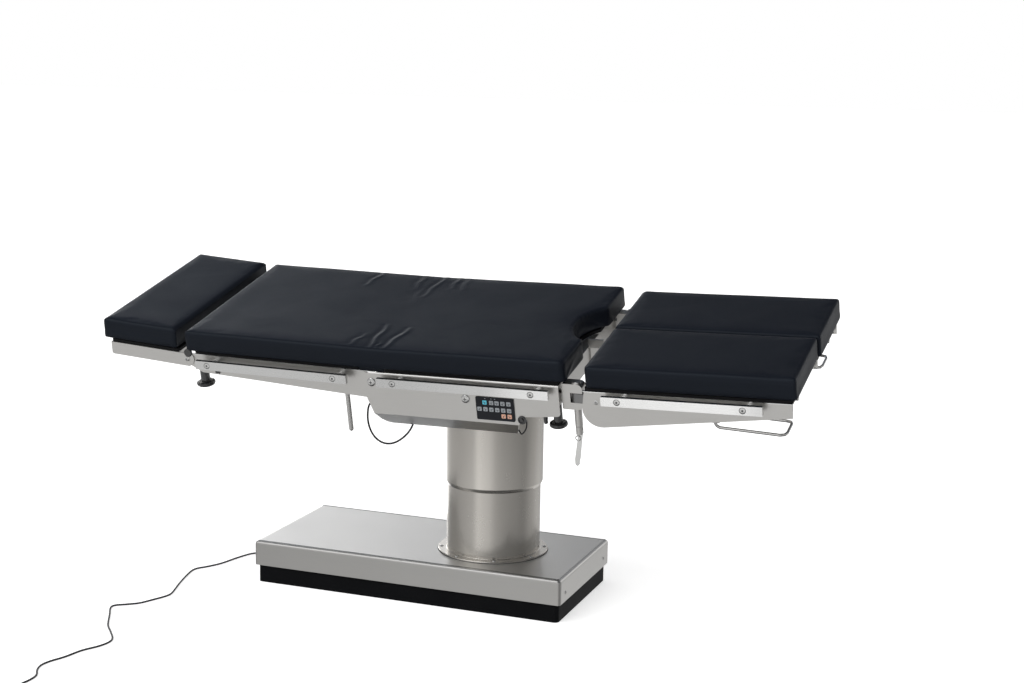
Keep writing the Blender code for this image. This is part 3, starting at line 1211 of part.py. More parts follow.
def leg_frame(name, side, pull):
    """A sheet tray with the outer panel, fold lugs, handle brackets and two foot tabs."""
    top = board_bottom() - GAP
    start = LEG_CUSHION_START
    end = LEG_PANEL_END + pull
    near_y, far_y = side * LEG_SPLIT * 2, side * (SIDE_FACE - 0.001)
    made = solid(name, prism(box_outline(start, end, *sorted((near_y, far_y))), "Z", top - SHEET, top), steel())
    outline = [(x + (pull if x > LEG_RAIL_RIGHT else 0.0), z) for x, z in leg_panel_outline()]
    join(made, prism(outline, "Y", side * (SIDE_FACE - SHEET), side * SIDE_FACE),
         prism(box_outline(start + 0.03, end, top - LEG_INNER_FLANGE, top - SHEET + 0.001), "Y",
               side * LEG_SPLIT * 2, side * (LEG_SPLIT * 2 + SHEET)))
    arm_half = ARM_WIDTH / 2
    inner_lug = SPINDLE_OFFSET - arm_half - GAP
    lug = (disc_outline(LEG_AXIS_X, LEG_AXIS_Z, ARM_HEIGHT / 2 + 0.002, 180, 360)
           + [(LEG_AXIS_X + 0.020, top - SHEET + 0.001), (LEG_AXIS_X - 0.020, top - SHEET + 0.001)])
    join(made, prism(lug, "Y", side * (inner_lug - 2 * SHEET), side * inner_lug),
         rod(0.006, side * (inner_lug - SHEET), side * (SIDE_FACE - SHEET / 2), (LEG_AXIS_X, 0, LEG_AXIS_Z),
             "Y", 16))
    for offset in (HANDLE_OUTER, HANDLE_INNER):
        ear = box_outline(HANDLE_AXIS_X + pull - 0.010, HANDLE_AXIS_X + pull + 0.010, HANDLE_AXIS_Z - 0.009,
                          top - SHEET + 0.001)
        inside = offset - HANDLE_ROD_RADIUS - GAP
        join(made, prism(ear, "Y", side * (inside - SHEET), side * inside))
        cut(made, rod(0.0025 + GAP, side * (inside - 2 * SHEET), side * (inside + SHEET),
                      (HANDLE_AXIS_X + pull, 0, HANDLE_AXIS_Z), "Y", 12))
    for offset in (0.2540, 0.1840):
        tab = rounded(box_outline(offset - 0.008, offset + 0.008, -0.0945, top - SHEET + 0.001),
                      [0.007, 0.007, 0, 0], 3)
        tab = [(side * y, z) for y, z in tab]
        join(made, prism(tab, "X", end - 0.016, end - 0.004))
    return smooth(made)


def leg_handle(name, side, pull):
    """The bail under the leg: two arms, a cross piece and two inward pivot ends."""
    r = HANDLE_ROD_RADIUS
    x0, x1 = HANDLE_AXIS_X + pull, HANDLE_END + pull
    outer, inner = side * HANDLE_OUTER, side * HANDLE_INNER
    step = -side
    route = [(x0, outer, HANDLE_AXIS_Z + r), (x0, outer, HANDLE_AXIS_Z - 0.006),
             (x0 + 0.004, outer, HANDLE_AXIS_Z - 0.014), (x0 + 0.012, outer, HANDLE_AXIS_Z - 0.0185),
             (x1 - 0.016, outer, HANDLE_DROP), (x1 - 0.004, outer + step * 0.004, HANDLE_DROP),
             (x1, outer + step * 0.016, HANDLE_DROP), (x1, inner - step * 0.016, HANDLE_DROP),
             (x1 - 0.004, inner - step * 0.004, HANDLE_DROP), (x1 - 0.016, inner, HANDLE_DROP),
             (x0 + 0.012, inner, HANDLE_AXIS_Z - 0.0185), (x0 + 0.004, inner, HANDLE_AXIS_Z - 0.014),
             (x0, inner, HANDLE_AXIS_Z - 0.006), (x0, inner, HANDLE_AXIS_Z + r)]
    made = swept(name, route, r, rail_steel())
    for place in (HANDLE_OUTER, HANDLE_INNER):
        join(made, rod(0.0025, side * (place - HANDLE_ROD_RADIUS - SHEET), side * place,
                       (x0, 0, HANDLE_AXIS_Z), "Y", 12))
    return smooth(made)


def swept(name, route, radius, look):
    """A round rod along a route of straight runs, as a mesh."""
    curve = bpy.data.curves.new(name, "CURVE")
    curve.dimensions = "3D"
    curve.bevel_depth = radius
    curve.bevel_resolution = 2
    curve.use_fill_caps = True
    line = curve.splines.new("POLY")
    line.points.add(len(route) - 1)
    for place, point in zip(line.points, route):
        place.co = (*point, 1.0)
    guide = bpy.data.objects.new(name + "_guide", curve)
    bpy.context.collection.objects.link(guide)
    graph = bpy.context.evaluated_depsgraph_get()
    mesh = bpy.data.meshes.new_from_object(guide.evaluated_get(graph))
    bpy.data.objects.remove(guide)
    made = bpy.data.objects.new(name, mesh)
    bpy.context.collection.objects.link(made)
    mesh.materials.clear()
    mesh.materials.append(look)
    return made


SOCKET_LEAD_ROUTE = [
    (SOCKET_X + 0.0035, -0.2570, SOCKET_Z - SOCKET_RADIUS - LEAD_RADIUS), (0.1790, -0.2585, -0.1860),
    (0.1750, -0.2560, -0.2020), (0.1670, -0.2520, -0.2150), (0.1560, -0.2480, -0.2260),
    (0.1470, -0.2310, -0.2290),
    (0.1380, -0.2235, -0.2230), (0.1270, -0.2386, -0.2130)]
HANGING_LEAD_ROUTE = [
    (-0.2200, -0.2659, -0.1680), (-0.2400, -0.2610, -0.1560), (-0.2620, -0.2550, -0.1600),
    (-0.2804, -0.2500, -0.1770), (-0.2932, -0.2400, -0.2142), (-0.2953, -0.2360, -0.2423),
    (-0.2896, -0.2340, -0.2683), (-0.2756, -0.2320, -0.2893), (-0.2606, -0.2290, -0.2985),
    (-0.2451, -0.2260, -0.3010), (-0.2267, -0.2210, -0.2971), (-0.2078, -0.2150, -0.2852),
    (-0.1915, -0.2090, -0.2693), (-0.1781, -0.2040, -0.2484), (-0.1740, -0.2039, -0.2355)]
CORD_ROUTE = [
    (BASE_LEFT + SKIRT_INSET - GLAND_LENGTH - GAP, GLAND_Y, GLAND_Z),
    (BASE_LEFT + SKIRT_INSET - GLAND_LENGTH - 0.0130, GLAND_Y, GLAND_Z), (-0.7000, 0.0230, 0.0220),
    (-0.7260, 0.0290, 0.0100), (-0.7520, 0.0300, CORD_HEIGHT + 0.0005), (-0.7790, 0.0080, CORD_HEIGHT),
    (-0.7970, -0.0450, CORD_HEIGHT), (-0.8120, -0.1100, CORD_HEIGHT), (-0.8330, -0.1530, CORD_HEIGHT),
    (-0.8520, -0.1830, CORD_HEIGHT), (-0.8510, -0.2200, CORD_HEIGHT), (-0.8270, -0.3110, CORD_HEIGHT),
    (-0.7990, -0.3980, CORD_HEIGHT), (-0.7990, -0.4300, CORD_HEIGHT), (-0.8140, -0.4690, CORD_HEIGHT),
    (-0.8330, -0.5090, CORD_HEIGHT), (-0.8600, -0.5330, CORD_HEIGHT), (-0.8830, -0.5520, CORD_HEIGHT),
    (-0.8810, -0.5740, CORD_HEIGHT), (-0.8540, -0.6180, CORD_HEIGHT), (-0.8110, -0.6890, CORD_HEIGHT),
    (-0.7740, -0.7320, CORD_HEIGHT), (-0.7430, -0.7700, CORD_HEIGHT), (-0.7340, -0.7980, CORD_HEIGHT),
    (-0.7410, -0.8330, CORD_HEIGHT), (-0.7620, -0.8760, CORD_HEIGHT), (-0.7740, -0.9290, CORD_HEIGHT),
    (-0.7890, -0.9690, CORD_HEIGHT), (-0.7930, -1.0000, CORD_HEIGHT), (-0.7830, -1.0290, CORD_HEIGHT),
    (-0.7630, -1.0600, CORD_HEIGHT), (-0.7590, -1.0900, CORD_HEIGHT), (-0.7620, -1.1200, CORD_HEIGHT),
    (-0.7600, -1.1600, 0.0040), (-0.7540, -1.1900, 0.0090)]
COIL_CENTRE = (-0.7100, -1.2270)


def make_leads(seat):
    seat.carry(tube("socket_lead", SOCKET_LEAD_ROUTE, LEAD_RADIUS, cable(), 0.0075))
    seat.carry(tube("hanging_lead", HANGING_LEAD_ROUTE, HANGING_LEAD_RADIUS, cable(), 0.0100))


def make_cord(base):
    """The mains cord: a gland in the skirt, the lead on the floor, the tied coil and the plug."""
    wall = BASE_LEFT + SKIRT_INSET
    tip = wall - GLAND_LENGTH
    inner = wall + SKIRT_WALL
    radius = GLAND_RADIUS
    neck = radius * 0.6
    profile = [(0.0, tip), (CORD_RADIUS * 1.4, tip), (CORD_RADIUS * 2.0, wall - 0.010),
               (radius * 0.85, wall - 0.009), (radius, wall - 0.007), (radius, wall - GAP), (neck, wall - GAP),
               (neck, inner + 0.004), (0.0, inner + 0.004)]
    base.carry(solid("cord_gland", turned(profile, (0, GLAND_Y, GLAND_Z), "X"), black_plastic()))
    ring_z = COIL_RING_RADIUS + GAP
    outer_turn = COIL_TURNS_RADIUS + COIL_RING_RADIUS - CORD_RADIUS - GAP * 2
    ring_edge = COIL_TURNS_RADIUS + COIL_RING_RADIUS + GAP * 2
    cord_past = math.sqrt(ring_edge ** 2 - (outer_turn - CORD_RADIUS) ** 2)
    plug_past = math.sqrt(ring_edge ** 2 - (outer_turn - PLUG_RELIEF_RADIUS) ** 2)
    centre = Vector((*COIL_CENTRE, ring_z))
    reach = Vector(CORD_ROUTE[-1]) - centre
    reach.z = 0.0
    lean = math.acos(outer_turn / reach.length)
    arrive = Matrix.Rotation(lean, 3, "Z") @ reach.normalized()
    along = Vector((-arrive.y, arrive.x, 0.0))
    route = CORD_ROUTE + [tuple(centre + arrive * outer_turn - along * cord_past)]
    base.carry(tube("mains_cord", route, CORD_RADIUS, cable(), 0.0215))
    ring = [(COIL_TURNS_RADIUS + COIL_RING_RADIUS * math.cos(2 * math.pi * n / 12),
             ring_z + COIL_RING_RADIUS * math.sin(2 * math.pi * n / 12)) for n in range(12)]
    coil = turned(ring, (*COIL_CENTRE, 0), "Z", 32, True)
    base.carry(solid("mains_cord_coil", coil, cable()))
    plug = solid("mains_plug", plug_shape(), black_plastic(), False)
    for pin_y in (-0.0095, 0.0095):
        join(plug, rod(0.0024, 0.024 + PLUG_LENGTH - 0.002, 0.024 + PLUG_LENGTH + 0.019, (0, pin_y, 0), "X", 16))
    smooth(plug)
    leave = Vector((0.0, -1.0, 0.0))
    start = centre + leave * outer_turn + Vector((plug_past, 0.0, 0.0))
    start.z = PLUG_HEIGHT / 2 + GAP
    plug.data.transform(Matrix.Translation(start))
    base.carry(plug)


def plug_shape():
    """A plain moulded plug along +X: a tapered relief that widens into a rounded body."""
    half_w, half_h = PLUG_WIDTH / 2, PLUG_HEIGHT / 2
    stations = [(0.0, PLUG_RELIEF_RADIUS, PLUG_RELIEF_RADIUS), (0.022, 0.0062, 0.0062), (0.026, 0.011, 0.0078),
                (0.038, half_w * 0.80, half_h), (0.024 + PLUG_LENGTH - 0.002, half_w, half_h),
                (0.024 + PLUG_LENGTH, half_w - 0.002, half_h - 0.002)]
    shape = bmesh.new()
    loops = []
    for x, wide, high in stations:
        loop = []
        for step in range(20):
            angle = 2 * math.pi * step / 20
            c, s = math.cos(angle), math.sin(angle)
            y = wide * math.copysign(abs(c) ** 0.6, c)
            z = high * math.copysign(abs(s) ** 0.6, s)
            loop.append(shape.verts.new((x, y, z)))
        loops.append(loop)
    for one, two in zip(loops, loops[1:]):
        for step in range(20):
            after = (step + 1) % 20
            shape.faces.new((one[step], one[after], two[after], two[step]))
    shape.faces.new(loops[0])
    shape.faces.new(loops[-1])
    return shape


def main():
    for leftover in list(bpy.data.objects):
        bpy.data.objects.remove(leftover)
    base = Section("base_frame", (0, 0, 0))
    make_base(base)
    make_cord(base)
    lift = Section("lift_frame", (0, 0, 0), base, (0, 0, 0))
    make_lift(lift)
    tip = (TIP_AXIS_X, 0, TIP_AXIS_Z)
    cross = Section("cross_frame", tip, lift, TIP_AXIS_WORLD, (LATERAL_TILT, 0, 0))
    make_cross(cross)
    seat = Section("seat_frame", tip, cross, tip, (0, TIPPING, 0))
    make_seat(seat)
    make_seat_controls(seat)
    make_leads(seat)
    hinge = (BACK_AXIS_X, 0, BACK_AXIS_Z)
    back = Section("back_pivot", hinge, seat, hinge, (0, BACK_RISE, 0))
    make_back(back)
    hinge = (HEAD_AXIS_X, 0, HEAD_AXIS_Z)
    head = Section("head_pivot", hinge, back, hinge, (0, HEAD_RISE, 0))
    make_head(head)
    for name, side in (("near", -1), ("far", 1)):
        make_leg(name, side, seat)


main()
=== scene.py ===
import json
import math

import bmesh
import bpy
from mathutils import Matrix, Vector, noise


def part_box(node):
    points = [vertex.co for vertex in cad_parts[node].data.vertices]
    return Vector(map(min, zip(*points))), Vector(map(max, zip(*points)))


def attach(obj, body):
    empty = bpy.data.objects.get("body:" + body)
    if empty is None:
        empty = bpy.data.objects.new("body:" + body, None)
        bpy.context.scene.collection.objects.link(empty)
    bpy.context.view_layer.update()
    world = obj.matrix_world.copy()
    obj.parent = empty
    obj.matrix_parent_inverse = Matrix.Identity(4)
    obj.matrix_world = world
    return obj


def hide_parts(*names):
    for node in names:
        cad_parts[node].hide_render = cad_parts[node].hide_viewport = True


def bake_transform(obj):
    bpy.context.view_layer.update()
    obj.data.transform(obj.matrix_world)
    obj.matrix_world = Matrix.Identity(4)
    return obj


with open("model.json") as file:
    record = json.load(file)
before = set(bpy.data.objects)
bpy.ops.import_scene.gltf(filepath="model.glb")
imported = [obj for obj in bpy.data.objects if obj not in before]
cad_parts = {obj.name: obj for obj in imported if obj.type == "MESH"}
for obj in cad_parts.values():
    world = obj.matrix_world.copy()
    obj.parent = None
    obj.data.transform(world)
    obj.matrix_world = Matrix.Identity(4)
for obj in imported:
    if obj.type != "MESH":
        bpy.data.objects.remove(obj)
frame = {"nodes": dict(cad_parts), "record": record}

bl_info = {
    "name": "Operating table looks",
    "version": (1, 0, 0),
    "blender": (4, 5, 0),
    "location": "View3D > Sidebar > Operating table",
    "description": "Finishes, pads, leads and small fittings of an operating table",
    "category": "Object",
}

# Sections of the top, in the table's own frame, and the pose they rest in
SIDE_TILT = 13.8
TIP = -0.86
BACK_RISE = 1.33
HEAD_RISE = 3.49
LEG_DROP = -0.81
TIP_AXIS = (0.0170, 0.0, -0.1220)
TIP_AXIS_WORLD = (0.0190, 0.0, 0.6655)
BACK_AXIS = (-0.2520, 0.0, -0.0950)
HEAD_AXIS = (-0.8140, 0.0, -0.0817)
LEG_AXIS = (0.3780, 0.0, -0.0940)
LEG_AXIS_ON_SEAT = (0.3782, 0.0, -0.1034)

# Pads
PAD_HALF_WIDTH = 0.2700
PAD_THICKNESS = 0.0580
PAD_CORNER = 0.0035
FACING_CORNER = 0.0160
HEAD_PAD = (-1.0800, -0.8510)
BODY_PAD = (-0.8120, 0.2983)
LEG_PAD = (0.3465, 0.8920)
LEG_PAD_INNER = 0.0030
FAR_LEG_PULL = 0.0065
SCOOP_RADIUS = 0.1400
SCOOP_DEPTH = 0.0549
SCOOP_STEPS = 24
MOUTH_SETBACK = 0.0100
MOUTH_REACH = 0.0060
MOUTH_CORNER = 0.0070
FOLD_START = -0.1450
FOLD_END = -0.3590
FLAP_START = -0.2880
FLAP_END = -0.2160
FLAP_HALF = 0.2640
FLAP_ROWS = 24
SLACK = 0.0010
LARGEST_SWELL = 0.0014
RIM_SOFTNESS = 0.0016
PLAN_REACH = 0.0030
CROWN = 0.0025
PAD_UNDERSIDE = -PAD_THICKNESS + 0.0006
CLOTH_FRAMES = 20
SEAM_LEVELS = (-0.0105, -PAD_THICKNESS + 0.0090)
SEAM_HALF_WIDTH = 0.0022

# Panels, rails and fittings
SIDE_FACE = 0.2720
RAIL_FACE = 0.3000
RAIL_Z = -0.0835
LEG_RAIL_Z = -0.0775
SEAT_RAIL_POSTS = (-0.1662, 0.2230)
BACK_RAIL_POSTS = (-0.7261, -0.3419)
LEG_RAIL_POSTS = (0.4540, 0.7760)
KEYPAD_FACE = 0.2750
COLUMN_FLANGE_TOP = 0.1246
FLANGE_SCREW_CIRCLE = 0.1445

# Sides of the table: sign of Y, name, and how much further out the leg section ends
SIDES = ((-1, "near", 0.0), (1, "far", FAR_LEG_PULL))

# Mains lead: straight stretch through listed points, then turns round the coil's middle
CORD_RADIUS = 0.0024
CORD_HEIGHT = 0.0027
CORD_ROUTE = [
    (-0.6660, 0.0200, 0.0270), (-0.6787, 0.0200, 0.0270), (-0.7000, 0.0230, 0.0220),
    (-0.7260, 0.0290, 0.0100), (-0.7520, 0.0300, CORD_HEIGHT + 0.0005), (-0.7790, 0.0080, CORD_HEIGHT),
    (-0.7970, -0.0450, CORD_HEIGHT), (-0.8120, -0.1100, CORD_HEIGHT), (-0.8330, -0.1530, CORD_HEIGHT),
    (-0.8520, -0.1830, CORD_HEIGHT), (-0.8510, -0.2200, CORD_HEIGHT), (-0.8270, -0.3110, CORD_HEIGHT),
    (-0.7990, -0.3980, CORD_HEIGHT), (-0.7990, -0.4300, CORD_HEIGHT), (-0.8140, -0.4690, CORD_HEIGHT),
    (-0.8330, -0.5090, CORD_HEIGHT), (-0.8600, -0.5330, CORD_HEIGHT), (-0.8830, -0.5520, CORD_HEIGHT),
    (-0.8810, -0.5740, CORD_HEIGHT), (-0.8540, -0.6180, CORD_HEIGHT), (-0.8110, -0.6890, CORD_HEIGHT),
    (-0.7740, -0.7320, CORD_HEIGHT), (-0.7430, -0.7700, CORD_HEIGHT), (-0.7340, -0.7980, CORD_HEIGHT),
    (-0.7410, -0.8330, CORD_HEIGHT), (-0.7620, -0.8760, CORD_HEIGHT), (-0.7740, -0.9290, CORD_HEIGHT),
    (-0.7890, -0.9690, CORD_HEIGHT), (-0.7930, -1.0000, CORD_HEIGHT), (-0.7830, -1.0290, CORD_HEIGHT),
    (-0.7630, -1.0600, CORD_HEIGHT), (-0.7590, -1.0900, CORD_HEIGHT), (-0.7620, -1.1200, CORD_HEIGHT),
    (-0.7600, -1.1600, 0.0040), (-0.7540, -1.1900, 0.0090)]
COIL_CENTRE = (-0.7100, -1.2270)
COIL_TURNS_RADIUS = 0.0300
COIL_MIDDLE_Z = 0.0088
COIL_LAYER = 0.0055
COIL_TURNS = 7
COIL_STEPS = 40
COIL_ENTRY = 191.9
COIL_LEAVE = 270.0
COIL_CROSSING = 0.55
LEAD_RADIUS = 0.0019
HANGING_LEAD_RADIUS = 0.0027
SOCKET_LEAD_ROUTE = [
    (0.1770, -0.2570, -0.1774), (0.1790, -0.2585, -0.1860), (0.1750, -0.2560, -0.2020),
    (0.1670, -0.2520, -0.2150), (0.1560, -0.2480, -0.2260), (0.1470, -0.2310, -0.2290),
    (0.1380, -0.2235, -0.2230), (0.1270, -0.2386, -0.2130)]
HANGING_LEAD_ROUTE = [
    (-0.2200, -0.2659, -0.1680), (-0.2400, -0.2610, -0.1560), (-0.2620, -0.2550, -0.1600),
    (-0.2804, -0.2500, -0.1770), (-0.2932, -0.2400, -0.2142), (-0.2953, -0.2360, -0.2423),
    (-0.2896, -0.2340, -0.2683), (-0.2756, -0.2320, -0.2893), (-0.2606, -0.2290, -0.2985),
    (-0.2451, -0.2260, -0.3010), (-0.2267, -0.2210, -0.2971), (-0.2078, -0.2150, -0.2852),
    (-0.1915, -0.2090, -0.2693), (-0.1781, -0.2040, -0.2484), (-0.1740, -0.2039, -0.2355)]

# Camera of the photograph
LENS = 59.37
SENSOR = 36.0
CAMERA_PLACE = (1.6590, -4.2738, 1.5157)
CAMERA_YAW = 20.662
CAMERA_PITCH = 9.970
CAMERA_ROLL = 0.9205


def turned_at(degrees, axis, pivot, place=None):
    """A turn about a pivot that also carries the pivot to a new place."""
    place = pivot if place is None else place
    return (Matrix.Translation(place) @ Matrix.Rotation(math.radians(degrees), 4, axis)
            @ Matrix.Translation(-Vector(pivot)))


def section_frames():
    """World matrices of the sections of the top."""
    seat = (Matrix.Translation(TIP_AXIS_WORLD) @ Matrix.Rotation(math.radians(SIDE_TILT), 4, "X")
            @ Matrix.Rotation(math.radians(TIP), 4, "Y") @ Matrix.Translation(-Vector(TIP_AXIS)))
    back = seat @ turned_at(BACK_RISE, "Y", BACK_AXIS)
    head = back @ turned_at(HEAD_RISE, "Y", HEAD_AXIS)
    leg = seat @ turned_at(LEG_DROP, "Y", LEG_AXIS, LEG_AXIS_ON_SEAT)
    return {"world": Matrix.Identity(4), "seat": seat, "back": back, "head": head, "leg": leg}


SECTIONS = section_frames()


# Node trees

class Tree:
    """Short calls to fill a node tree."""

    def __init__(self, tree):
        self.tree = tree
        tree.nodes.clear()

    def add(self, kind, **inputs):
        node = self.tree.nodes.new(kind)
        for name, value in inputs.items():
            self.feed(node, name.replace("_", " "), value)
        return node

    def plug(self, socket, value):
        """Link an output to a socket, or give the socket a value of its own."""
        if isinstance(value, bpy.types.NodeSocket):
            self.tree.links.new(value, socket)
        else:
            socket.default_value = value

    def feed(self, node, name, value):
        self.plug(node.inputs[name], value)

    def link(self, start, end):
        self.tree.links.new(start, end)

    def maths(self, operation, first, second=0.0):
        node = self.tree.nodes.new("ShaderNodeMath")
        node.operation = operation
        self.plug(node.inputs[0], first)
        self.plug(node.inputs[1], second)
        return node.outputs[0]

    def mix(self, factor, first, second, blend="MIX"):
        node = self.tree.nodes.new("ShaderNodeMix")
        node.data_type = "RGBA"
        node.blend_type = blend
        for socket, value in (("Factor", factor), (6, first), (7, second)):
            self.plug(node.inputs[socket], value)
        return node.outputs[2]

    def choose(self, factor, first, second):
        """Mix two shaders."""
        node = self.add("ShaderNodeMixShader", Fac=factor)
        self.link(first.outputs[0], node.inputs[1])
        self.link(second.outputs[0], node.inputs[2])
        return node

    def spread(self, value, low, high):
        """Take a 0 to 1 value to the range from low to high."""
        return self.add("ShaderNodeMapRange", Value=value, To_Min=low, To_Max=high).outputs[0]

    def half_share(self, value):
        """Take a value from -1 to 1 to the range from 0 to 1."""
        return self.maths("ADD", self.maths("DIVIDE", value, 2.0), 0.5)

    def ramp(self, share, stops, cool_from=2.0):
        """Grey levels at places from 0 to 1, cooler beyond a place."""
        node = self.add("ShaderNodeValToRGB", Fac=share)
        node.color_ramp.interpolation = "EASE"
        points = node.color_ramp.elements
        while len(points) < len(stops):
            points.new(0.5)
        for point, (at, level) in zip(points, stops):
            tint = COOL_GREY if at >= cool_from else PLAIN_GREY
            point.position = at
            point.color = (*(part * level for part in tint), 1.0)
        return node.outputs[0]


PLAIN_GREY = (1.0, 1.0, 1.0)
COOL_GREY = (0.78, 0.93, 1.2)


def new_group(name, inputs, outputs):
    group = bpy.data.node_groups.new(name, "ShaderNodeTree")
    for label, kind, default in inputs:
        socket = group.interface.new_socket(label, in_out="INPUT", socket_type=kind)
        if default is not None:
            socket.default_value = default
    for label, kind in outputs:
        group.interface.new_socket(label, in_out="OUTPUT", socket_type=kind)
    tree = Tree(group)
    return group, tree, tree.add("NodeGroupInput").outputs, tree.add("NodeGroupOutput")


def brushed_grain_group():
    """Fine lines left by a brushing belt. The stretch says how long they run along each axis."""
    group, tree, given, out = new_group(
        "Brushed grain",
        [("Vector", "NodeSocketVector", None), ("Stretch", "NodeSocketVector", (3.0, 260.0, 260.0)),
         ("Waves", "NodeSocketFloat", 2.2)],
        [("Lines", "NodeSocketFloat"), ("Smudges", "NodeSocketFloat")])
    lines = tree.add("ShaderNodeVectorMath")
    lines.operation = "MULTIPLY"
    tree.link(given["Vector"], lines.inputs[0])
    tree.link(given["Stretch"], lines.inputs[1])
    fine = tree.add("ShaderNodeTexNoise", Vector=lines.outputs[0], Scale=4.0, Detail=4.0, Roughness=0.65)
    soft = tree.add("ShaderNodeTexNoise", Vector=given["Vector"], Scale=given["Waves"], Detail=5.0,
                    Roughness=0.55)
    tree.link(fine.outputs["Fac"], out.inputs["Lines"])
    tree.link(soft.outputs["Fac"], out.inputs["Smudges"])
    return group


def dust_group():
    """A light film of dust and finger marks, as one mask."""
    group, tree, given, out = new_group(
        "Handling marks", [("Vector", "NodeSocketVector", None), ("Amount", "NodeSocketFloat", 0.3)],
        [("Marks", "NodeSocketFloat")])
    cloud = tree.add("ShaderNodeTexNoise", Vector=given["Vector"], Scale=9.0, Detail=6.0, Roughness=0.6)
    specks = tree.add("ShaderNodeTexNoise", Vector=given["Vector"], Scale=240.0, Detail=2.0)
    both = tree.maths("MULTIPLY", cloud.outputs["Fac"], specks.outputs["Fac"])
    tree.link(tree.maths("MULTIPLY", both, given["Amount"]), out.inputs["Marks"])
    return group


def coated_cloth_group():
    """The skin of a coated mattress cover: a fine weave under a smooth film, with soft creases."""
    group, tree, given, out = new_group(
        "Coated cloth",
        [("Vector", "NodeSocketVector", None), ("Threads", "NodeSocketFloat", 900.0),
         ("Creases", "NodeSocketFloat", 7.0)],
        [("Weave", "NodeSocketFloat"), ("Soft", "NodeSocketFloat"), ("Height", "NodeSocketFloat")])
    weave = tree.add("ShaderNodeTexVoronoi", Vector=given["Vector"], Scale=given["Threads"])
    soft = tree.add("ShaderNodeTexNoise", Vector=given["Vector"], Scale=given["Creases"], Detail=5.0,
                    Roughness=0.5, Distortion=0.6)
    raised = tree.maths("MULTIPLY", soft.outputs["Fac"], 6.0)
    total = tree.maths("ADD", raised, tree.maths("MULTIPLY", weave.outputs["Distance"], 0.5))
    tree.link(weave.outputs["Distance"], out.inputs["Weave"])
    tree.link(soft.outputs["Fac"], out.inputs["Soft"])
    tree.link(total, out.inputs["Height"])
    return group


GROUPS = {}


def use_group(tree, name, **inputs):
    makers = {"Brushed grain": brushed_grain_group, "Handling marks": dust_group,
              "Coated cloth": coated_cloth_group}
    if name not in GROUPS:
        GROUPS[name] = makers[name]()
    node = tree.tree.nodes.new("ShaderNodeGroup")
    node.node_tree = GROUPS[name]
    for label, value in inputs.items():
        tree.feed(node, label, value)
    return node


def start_material(name):
    material = bpy.data.materials.new(name)
    material.use_nodes = True
    tree = Tree(material.node_tree)
    shader = tree.add("ShaderNodeBsdfPrincipled")
    out = tree.add("ShaderNodeOutputMaterial")
    tree.link(shader.outputs[0], out.inputs["Surface"])
    place = tree.add("ShaderNodeTexCoord")
    return material, tree, shader, place.outputs["Object"]


ALONG_X = (3.0, 260.0, 260.0)
UP_Z = (6.0, 6.0, 0.8)
EVERY_WAY = (60.0, 60.0, 60.0)
GRAIN_RELIEF = 0.0002
PEEL_RELIEF = 0.0004
# Painted reflection along the rails, from 1 m towards the head end (0) to 1 m towards the foot end (1)
RAIL_PAINTED_REFLECTION = [(0.0, 0.70), (0.30, 0.70), (0.40, 0.66), (0.53, 0.70), (0.60, 0.95), (0.70, 1.0), (0.86, 1.0),
               (0.91, 0.80)]


def metal(name, colour, darker, rough, stretch, spread=0.12, relief=0.35, stain=0.25, levels=None):
    """Brushed steel: varying colour, roughness and fine relief along the brushing. Levels along X, where
    they are given, multiply the colour with a painted reflection that changes along the table."""
    material, tree, shader, place = start_material(name)
    grain = use_group(tree, "Brushed grain", Vector=place, Stretch=stretch)
    marks = use_group(tree, "Handling marks", Vector=place, Amount=0.5)
    tone = tree.maths("ADD", tree.maths("MULTIPLY", grain.outputs["Lines"], 0.6),
                      tree.maths("MULTIPLY", grain.outputs["Smudges"], 0.4))
    steel = tree.mix(tone, (*darker, 1.0), (*colour, 1.0))
    if levels:
        # painted reflection: grey levels along X multiply the steel colour
        parts = tree.add("ShaderNodeSeparateXYZ", Vector=place)
        shade = tree.ramp(tree.half_share(parts.outputs["X"]), levels)
        steel = tree.mix(1.0, steel, shade, "MULTIPLY")
    tree.feed(shader, "Base Color", steel)
    shader.inputs["Metallic"].default_value = 1.0
    level = tree.maths("ADD", tree.spread(grain.outputs["Lines"], rough - spread / 2, rough + spread / 2),
                       tree.maths("MULTIPLY", marks.outputs["Marks"], stain))
    tree.feed(shader, "Roughness", level)
    bump = tree.add("ShaderNodeBump", Strength=relief, Distance=GRAIN_RELIEF, Height=grain.outputs["Lines"])
    tree.feed(shader, "Normal", bump.outputs[0])
    return material


def plastic(name, colour, rough, grain_scale=700.0, coat=0.0, shine=0.5):
    """Moulded plastic or painted metal with a faint orange peel and handling marks."""
    material, tree, shader, place = start_material(name)
    marks = use_group(tree, "Handling marks", Vector=place, Amount=0.8)
    lighter = tuple(min(1.0, c * 1.6 + 0.01) for c in colour)
    tree.feed(shader, "Base Color", tree.mix(marks.outputs["Marks"], (*colour, 1.0), (*lighter, 1.0)))
    tree.feed(shader, "Roughness", tree.spread(marks.outputs["Marks"], rough, min(1.0, rough + 0.35)))
    shader.inputs["Specular IOR Level"].default_value = shine
    shader.inputs["Coat Weight"].default_value = coat
    shader.inputs["Coat Roughness"].default_value = 0.12
    peel = tree.add("ShaderNodeTexNoise", Vector=place, Scale=grain_scale, Detail=2.0)
    bump = tree.add("ShaderNodeBump", Strength=0.3, Distance=PEEL_RELIEF, Height=peel.outputs["Fac"])
    tree.feed(shader, "Normal", bump.outputs[0])
    return material


